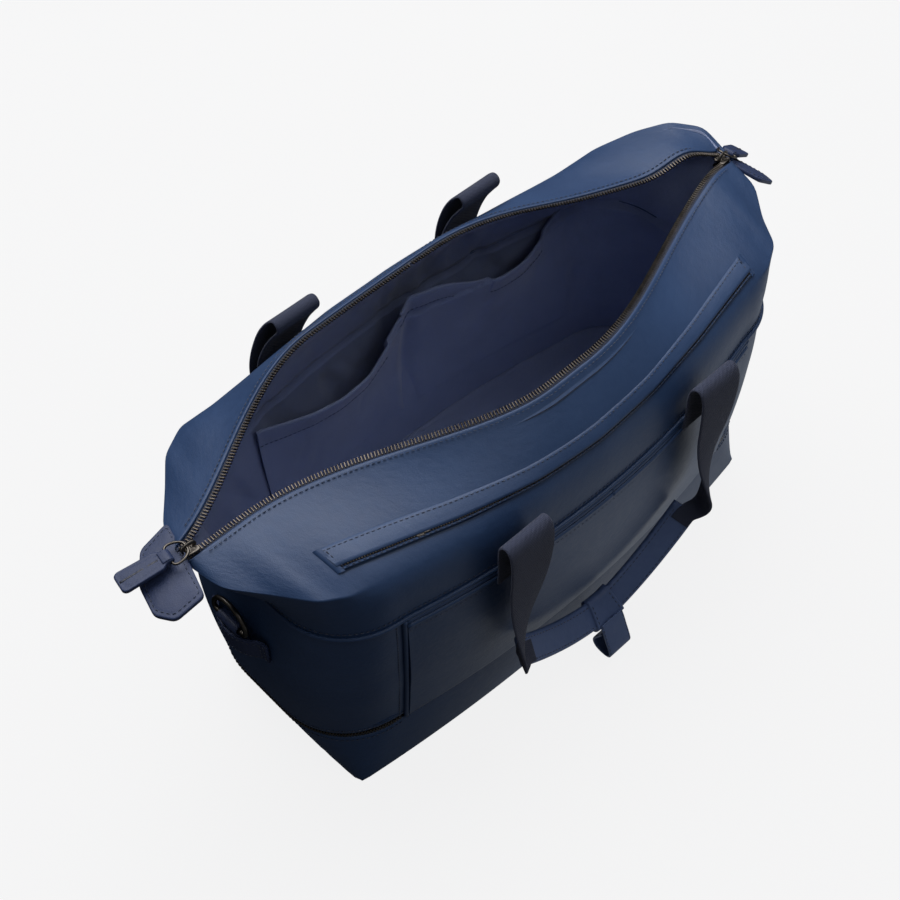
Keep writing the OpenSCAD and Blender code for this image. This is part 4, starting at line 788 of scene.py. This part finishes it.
for sx in (-1, 1):
    sd = "left" if sx < 0 else "right"
    droop = math.radians(2 if sx < 0 else 34)
    def tf(a, b_, h, sx=sx, droop=droop):      # a runs outwards (negative), b across
        s = -a; z0 = 275.6 if sx < 0 else 278.0; sag = 0.0016 * s * s
        y = b_ if sx < 0 else b_ * 0.97
        curve = 0.0016 * b_ * b_
        return (sx * ((271.5 if sx < 0 else 270.0) + s * math.cos(droop) + h * math.sin(droop)), y, z0 - s * math.sin(droop) + h * math.cos(droop) - sag - curve)
    o2 = rpoly(TABP, 4.0)
    o = slab(sd + "_tab_leather", o2, tf, 3.4, TRIM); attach(o, "upper"); done(o, "trim_leather", sd + "_end_tab")
    sp = resample(path_on(o2, tf, 1.75, 3.6), step=1.5)
    o = stitches(sd + "_tab_stitch", sp, np.array(tf(-10, 0, 5)) - np.array(tf(-10, 0, 0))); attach(o, "upper"); done(o, "thread", sd + "_end_tab")
    # slider: body with a waist, bail over it
    X0 = sx * 270.0; zt = 279.6
    o2 = rpoly(np.array([(-5.6, -2.6), (-4.2, -4.4), (2.4, -5.4), (5.4, -5.2), (6.4, -2.2), (3.2, 0), (6.4, 2.2), (5.4, 5.2), (2.4, 5.4), (-4.2, 4.4), (-5.6, 2.6)]), 0.9, 3)
    sf = lambda a, b_, h, X0=X0, sx=sx, zt=zt: (X0 - sx * a, b_, zt + h)
    o = slab(sd + "_slider_top", o2, sf, 1.8, METAL, bevel=.5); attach(o, sd + "_slider"); done(o, "gunmetal", sd + "_slider")
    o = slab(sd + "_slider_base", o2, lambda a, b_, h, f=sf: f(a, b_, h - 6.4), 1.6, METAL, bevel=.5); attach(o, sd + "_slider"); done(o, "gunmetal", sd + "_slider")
    bl = bez([(X0 - sx * 4.2, 0, zt + .6), (X0 - sx * 4.0, 0, zt + 3.2), (X0 - sx * 1.6, 0, zt + 5.0), (X0 + sx * 2.4, 0, zt + 5.0), (X0 + sx * 4.3, 0, zt + 3.2), (X0 + sx * 4.4, 0, zt + .6)], 6)
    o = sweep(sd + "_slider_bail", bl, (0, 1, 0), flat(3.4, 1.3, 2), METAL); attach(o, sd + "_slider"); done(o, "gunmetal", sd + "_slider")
    nk = [(X0 - sx * 1.5, 0, zt - 5.5), (X0 - sx * 1.5, 0, zt)]
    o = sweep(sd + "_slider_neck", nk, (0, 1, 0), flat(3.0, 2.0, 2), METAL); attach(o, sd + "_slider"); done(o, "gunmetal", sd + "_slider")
    # wire link and leather puller
    pd_ = math.radians(3 if sx < 0 else 36); H = (272.0, 285.0); yaw = math.radians(9 if sx < 0 else 14)
    def pf(s, w, h, sx=sx, pd_=pd_, yaw=yaw):
        s2, w2 = s * math.cos(yaw) - w * math.sin(yaw) * 1.0, s * math.sin(yaw) + w * math.cos(yaw)
        return (sx * (H[0] + s2 * math.cos(pd_) + h * math.sin(pd_)), w2, H[1] - s2 * math.sin(pd_) + h * math.cos(pd_))
    ring = [(-.6, 0), (0.4, 4.5), (4.5, 7.6), (9.6, 8.6), (12.4, 7.0), (12.8, 3.0), (12.8, -3.0), (12.4, -7.0), (9.6, -8.6), (4.5, -7.6), (0.4, -4.5), (-.6, 0)]
    rp = bez([pf(s, w, -.8) for s, w in ring], 5)
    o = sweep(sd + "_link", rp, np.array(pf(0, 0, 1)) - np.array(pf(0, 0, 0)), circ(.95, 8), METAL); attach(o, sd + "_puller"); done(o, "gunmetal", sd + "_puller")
    o2 = rpoly(np.array([(11.2, -5.0), (16.2, -5.2), (19.5, -8.0), (47.0, -8.6), (49.3, -6.4), (49.3, 6.4), (47.0, 8.6), (19.5, 8.0), (16.2, 5.2), (11.2, 5.0)]), 1.5, 4)
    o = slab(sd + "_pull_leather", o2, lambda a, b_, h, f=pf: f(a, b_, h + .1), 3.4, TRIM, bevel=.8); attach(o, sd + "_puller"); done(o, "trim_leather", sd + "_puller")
    gv = np.array([pf(s, 0, 1.98) for s in np.linspace(20, 47.5, 20)])
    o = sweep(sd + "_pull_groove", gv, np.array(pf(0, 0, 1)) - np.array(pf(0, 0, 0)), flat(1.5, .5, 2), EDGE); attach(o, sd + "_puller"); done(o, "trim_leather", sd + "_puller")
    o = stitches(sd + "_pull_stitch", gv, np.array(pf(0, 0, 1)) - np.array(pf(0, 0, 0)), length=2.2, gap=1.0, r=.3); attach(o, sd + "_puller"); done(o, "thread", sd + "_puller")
    lp = np.array([pf(s, 0, h) for s, h in ((18.5, 1.9), (14.5, 2.3), (12.0, 1.5), (10.9, -.7), (12.0, -2.8), (14.5, -3.2), (18.5, -1.6))])
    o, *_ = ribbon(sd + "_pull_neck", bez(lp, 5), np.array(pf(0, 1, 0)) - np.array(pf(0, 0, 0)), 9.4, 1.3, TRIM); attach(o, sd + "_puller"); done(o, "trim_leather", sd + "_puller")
    # bridge strap, stitched flat at both ends and bowed over the chape
    yy = np.linspace(-31, 31, 60)
    bx = np.array([max(endx(y, 158.5) + 2.6, 0) for y in yy]) + 10.0 * np.clip(1 - (yy / 24.0) ** 2, 0, 1) ** 0.8
    bx = np.convolve(np.pad(bx, 3, "edge"), np.ones(7) / 7, "valid")
    Pb = np.stack([sx * bx, yy, np.full(60, 158.5)], -1)
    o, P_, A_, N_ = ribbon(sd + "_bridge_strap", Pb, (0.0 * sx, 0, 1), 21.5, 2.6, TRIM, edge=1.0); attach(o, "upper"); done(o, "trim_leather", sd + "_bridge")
    nb = N_ * np.sign(N_[:, :1] * sx)
    for e in (-8.2, 8.2):
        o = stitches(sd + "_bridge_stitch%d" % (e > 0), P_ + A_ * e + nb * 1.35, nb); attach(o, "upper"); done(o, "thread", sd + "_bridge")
    for ye in (-28.5, -25, 25, 28.5):
        i = np.argmin(np.abs(P_[:, 1] - ye)); c0 = P_[i] + nb[i] * 1.35
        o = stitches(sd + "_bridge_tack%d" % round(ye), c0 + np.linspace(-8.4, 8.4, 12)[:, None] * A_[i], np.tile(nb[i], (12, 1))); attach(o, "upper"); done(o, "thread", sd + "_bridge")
    cx = abs(J[sd + "_ring_swing"]["pos_m"][0]) * 1000; cz = J[sd + "_ring_swing"]["pos_m"][2] * 1000
    th = np.radians(np.linspace(-62, 242, 26)); w0 = endx(0, 150) + 1.4
    ch = [(w0, 138), (w0 + .4, 150), (w0 + 1.6, 162)] + [(cx + 3.6 * math.cos(math.pi - a), cz + 3.6 * math.sin(a)) for a in np.radians(np.linspace(-30, 210, 14))] + [(w0 + 4.6, 162), (w0 + 3.2, 150), (w0 + 3.0, 140)]
    cp = bez([(sx * x, 0, z) for x, z in ch], 3)
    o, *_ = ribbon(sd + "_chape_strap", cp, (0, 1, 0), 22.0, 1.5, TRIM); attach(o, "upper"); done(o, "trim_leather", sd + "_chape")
    t7 = math.radians(7)
    ry = [(-14, 0), (-17.4, 1.0), (-18.4, 4.5), (-17.0, 10), (-12.5, 15.6), (-6.5, 19), (0, 20), (6.5, 19), (12.5, 15.6), (17.0, 10), (18.4, 4.5), (17.4, 1.0), (14, 0), (5, 0), (-5, 0), (-14, 0)]
    rp = bez([(sx * (cx - h * math.sin(t7)), y, cz + h * math.cos(t7)) for y, h in ry], 6)
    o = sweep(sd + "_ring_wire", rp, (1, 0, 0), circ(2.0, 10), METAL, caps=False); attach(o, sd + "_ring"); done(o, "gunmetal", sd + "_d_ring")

# ------------------------------------------------------------------ keeper on the front grip
k = np.abs(GP[:, 0]) <= 14.2
kp = resample(GP[k], 24); o, P_, A_, N_ = ribbon("grip_keeper_band", kp, (0, 0.64, 0.77), 28.0, 10.4, GRIP_PAINTED_LIGHT, edge=4.4)
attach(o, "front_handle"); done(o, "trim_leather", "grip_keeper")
for e in (-11.6, 11.6):
    i = np.argmin(np.abs(P_[:, 0] - e)); n_ = N_[i] * np.sign((N_[i] * np.array([0, -1, .6])).sum())
    w_ = np.linspace(-9.2, 9.2, 16)[:, None]
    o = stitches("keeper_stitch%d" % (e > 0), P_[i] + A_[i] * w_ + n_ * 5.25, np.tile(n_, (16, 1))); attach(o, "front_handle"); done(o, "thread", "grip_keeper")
lp = bez([(0, -139.8, 47.0), (0, -143.2, 39.5), (0, -146.2, 31.5), (0, -149.4, 23.5), (0, -151.6, 16.5), (0, -150.6, 12.4), (0, -146.6, 10.8), (0, -140.8, 11.2), (0, -136.0, 13.4), (0, -133.4, 17.8), (0, -134.0, 22.8), (0, -137.0, 28.0), (0, -139.6, 32.6), (0, -141.2, 36)], 6)
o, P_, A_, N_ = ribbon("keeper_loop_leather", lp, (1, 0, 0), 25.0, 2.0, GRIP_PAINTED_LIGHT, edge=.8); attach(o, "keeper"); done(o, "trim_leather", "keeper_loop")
nk = N_ * np.sign((N_ * np.array([0, -1, .4])).sum(1))[:, None]
for e in (-11.4, 11.4):
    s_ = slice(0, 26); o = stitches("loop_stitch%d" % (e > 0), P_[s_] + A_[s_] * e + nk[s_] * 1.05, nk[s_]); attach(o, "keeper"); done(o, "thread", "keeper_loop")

# ------------------------------------------------------------------ sliders and pullers of the lower zip, and of the welt
for sfx, sx in (("a", -1), ("b", 1)):
    lo, hi = cad("bottom_slider_" + sfx); cx, cy = (lo[0] + hi[0]) / 2, hi[1]
    ypl = W3(1, 1, np.array([0.03]), np.array([60.0]), 0)[0][1]
    o2 = rpoly(np.array([(-5.0, -2.2), (-3.6, -3.6), (3.8, -4.2), (5.2, -2.0), (3.0, 0), (5.2, 2.0), (3.8, 4.2), (-3.6, 3.6)]), .8, 3)
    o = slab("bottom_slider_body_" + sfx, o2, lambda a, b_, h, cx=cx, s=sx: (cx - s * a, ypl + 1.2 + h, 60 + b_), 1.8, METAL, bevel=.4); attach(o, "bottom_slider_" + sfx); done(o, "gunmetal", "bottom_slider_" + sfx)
    bl = bez([(cx, ypl + 1.6, 63.0), (cx, ypl + 3.4, 62.0), (cx, ypl + 4.0, 60), (cx, ypl + 3.4, 57.6), (cx, ypl + 1.6, 56.8)], 5)
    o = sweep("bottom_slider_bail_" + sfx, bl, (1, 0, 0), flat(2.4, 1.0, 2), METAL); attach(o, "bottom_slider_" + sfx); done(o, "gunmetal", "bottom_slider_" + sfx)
    pl, ph = cad("bottom_puller_" + sfx); zt_, zb = ph[2], pl[2]; yp = ph[1] - 1.0
    o2 = rpoly(np.array([(-3.0, zt_ - 3), (3.0, zt_ - 3), (4.2, zt_ - 8), (4.6, zb + 2), (3.4, zb), (-3.4, zb), (-4.6, zb + 2), (-4.2, zt_ - 8)]), .9, 4)
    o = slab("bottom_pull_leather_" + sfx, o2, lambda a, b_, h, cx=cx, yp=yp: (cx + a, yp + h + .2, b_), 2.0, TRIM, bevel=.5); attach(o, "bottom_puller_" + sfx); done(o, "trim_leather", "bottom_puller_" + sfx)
    rg = bez([(cx, yp + 1.2, zt_ - 1), (cx + 3.2, yp + .8, zt_ - 2.2), (cx + 3.4, yp, zt_ - 5), (cx, yp - .4, zt_ - 6), (cx - 3.4, yp, zt_ - 5), (cx - 3.2, yp + .8, zt_ - 2.2), (cx, yp + 1.2, zt_ - 1)], 4)
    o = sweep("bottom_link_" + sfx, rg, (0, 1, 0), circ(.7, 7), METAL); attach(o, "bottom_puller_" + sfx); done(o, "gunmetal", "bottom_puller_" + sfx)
lo, hi = cad("welt_slider"); wx = (lo[0] + hi[0]) / 2
c0 = welt(np.array([wx]), tw, 1.0)[0]; tx = welt(np.array([wx + 3]), tw, 1.0)[0] - welt(np.array([wx - 3]), tw, 1.0)[0]; tx /= np.linalg.norm(tx)
nz = welt(np.array([wx]), tw, 5.0)[0] - welt(np.array([wx]), tw, 0.0)[0]; nz /= np.linalg.norm(nz); ty = np.cross(nz, tx)
wf = lambda a, b_, h: tuple(c0 + tx * a + ty * b_ + nz * h)
o2 = rpoly(np.array([(-4.2, -1.6), (-3.0, -2.6), (3.2, -2.9), (4.2, -1.2), (4.2, 1.2), (3.2, 2.9), (-3.0, 2.6), (-4.2, 1.6)]), .6, 3)
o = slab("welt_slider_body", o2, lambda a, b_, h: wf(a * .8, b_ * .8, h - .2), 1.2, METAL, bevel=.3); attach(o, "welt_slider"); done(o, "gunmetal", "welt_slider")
o2 = rpoly(np.array([(3.0, -1.2), (9, -1.6), (10, -1.0), (10, 1.0), (9, 1.6), (3.0, 1.2)]), .8, 3)
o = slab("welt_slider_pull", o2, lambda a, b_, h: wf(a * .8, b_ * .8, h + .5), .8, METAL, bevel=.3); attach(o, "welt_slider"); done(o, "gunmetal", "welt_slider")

# CAD nodes that stay in sight or inside keep their shape and take a finish
for nm in frame["nodes"]:
    ob = bpy.data.objects.get(nm)
    if ob is None or ob.type != "MESH" or ob.hide_render: continue
    ob.data.materials.clear(); ob.data.materials.append({"base_board": BOARD}.get(nm, METAL if ("ring" in nm or "slider" in nm) else TRIM))

# ------------------------------------------------------------------ floor, light, camera
fm, nt, b = new_mat("floor_paper")
oc = node(nt, "ShaderNodeTexCoord").outputs["Object"]
ns = node(nt, "ShaderNodeTexNoise", Scale=3.0, Detail=2.0); nt.links.new(oc, ns.inputs["Vector"])
nt.links.new(ramp(nt, ns.outputs[0], [(0.3, (0.86, 0.86, 0.855)), (0.7, (0.885, 0.885, 0.88))]), b.inputs["Base Color"])
b.inputs["Roughness"].default_value = 0.95; b.inputs["Specular IOR Level"].default_value = 0.0
lp = node(nt, "ShaderNodeLightPath"); sep = node(nt, "ShaderNodeSeparateXYZ"); nt.links.new(oc, sep.inputs[0])
glow = node(nt, "ShaderNodeEmission"); glow.inputs[0].default_value = (0.995, 0.995, 1.0, 1); glow.inputs[1].default_value = 0.925
m1 = node(nt, "ShaderNodeMixShader"); m1.inputs[0].default_value = 0.07; nt.links.new(glow.outputs[0], m1.inputs[1]); nt.links.new(b.outputs[0], m1.inputs[2])
# To the camera the floor is an even glow with faint shadows (m1). Glossy rays see it glow only in a patch to the front
# right (gx, gy), a painted reflection that lays the sheen on the front pocket. All other rays see a dim grey floor that
# throws little bounce light.
gx = node(nt, "ShaderNodeMapRange"); gx.interpolation_type = "SMOOTHSTEP"; nt.links.new(sep.outputs[0], gx.inputs[0])
gx.inputs[1].default_value = -0.26; gx.inputs[2].default_value = 0.10; gx.inputs[3].default_value = 0.05; gx.inputs[4].default_value = 0.62
gy = node(nt, "ShaderNodeMapRange"); gy.interpolation_type = "SMOOTHSTEP"; nt.links.new(sep.outputs[1], gy.inputs[0])
gy.inputs[1].default_value = 0.12; gy.inputs[2].default_value = -0.12; gy.inputs[3].default_value = 0.10; gy.inputs[4].default_value = 1.0
painted_reflection_glow = node(nt, "ShaderNodeEmission"); nt.links.new(mathn(nt, "MULTIPLY", gx.outputs[0], gy.outputs[0]), painted_reflection_glow.inputs[1]); painted_reflection_glow.inputs[0].default_value = (0.86, 0.92, 1.0, 1)
dim = node(nt, "ShaderNodeBsdfDiffuse"); dim.inputs[0].default_value = (0.16, 0.16, 0.17, 1)
m2 = node(nt, "ShaderNodeMixShader"); nt.links.new(lp.outputs["Is Glossy Ray"], m2.inputs[0]); nt.links.new(dim.outputs[0], m2.inputs[1]); nt.links.new(painted_reflection_glow.outputs[0], m2.inputs[2])
m3 = node(nt, "ShaderNodeMixShader"); nt.links.new(lp.outputs["Is Camera Ray"], m3.inputs[0]); nt.links.new(m2.outputs[0], m3.inputs[1]); nt.links.new(m1.outputs[0], m3.inputs[2])
nt.links.new(m3.outputs[0], [n for n in nt.nodes if n.type == "OUTPUT_MATERIAL"][0].inputs[0])
me = bpy.data.meshes.new("floor"); R_ = 12.0
me.from_pydata([(-R_, -R_, -0.0004), (R_, -R_, -0.0004), (R_, R_, -0.0004), (-R_, R_, -0.0004)], [], [(0, 1, 2, 3)])
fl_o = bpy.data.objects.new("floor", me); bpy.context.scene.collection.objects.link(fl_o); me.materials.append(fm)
W = bpy.data.worlds.new("studio"); bpy.context.scene.world = W; W.use_nodes = True
W.node_tree.nodes["Background"].inputs[0].default_value = (1.0, 1.0, 1.0, 1); W.node_tree.nodes["Background"].inputs[1].default_value = 0.10
def area(name, loc, target, size, power, col=(1, 1, 1)):
    l = bpy.data.lights.new(name, "AREA"); l.energy = power; l.size = size; l.color = col; l.shape = "SQUARE"
    o = bpy.data.objects.new(name, l); bpy.context.scene.collection.objects.link(o)
    o.location = loc; o.rotation_euler = (Vector(target) - Vector(loc)).to_track_quat("-Z", "Y").to_euler()
    return o
area("key", (0.35, 1.0, 2.2), (0, 0.0, 0.15), 2.2, 58)
area("fill", (1.1, 0.1, 2.3), (0.1, 0, 0.2), 1.4, 13)
area("front_top", (0.35, -1.3, 2.3), (0, 0, 0.1), 1.5, 9)
cam = bpy.data.cameras.new("camera"); co = bpy.data.objects.new("camera", cam); bpy.context.scene.collection.objects.link(co)
cam.lens = 56.467; cam.sensor_width = 36.0
Rm = Matrix(((0.724353, 0.556585, -0.406848, -0.48624), (-0.688161, 0.547924, -0.47562, -0.52125), (-0.041801, 0.624494, 0.77991, 1.03333), (0, 0, 0, 1)))
co.matrix_world = Rm
bpy.context.scene.camera = co
bpy.context.scene.view_settings.view_transform = "Standard"
bpy.context.scene.view_settings.look = "None"
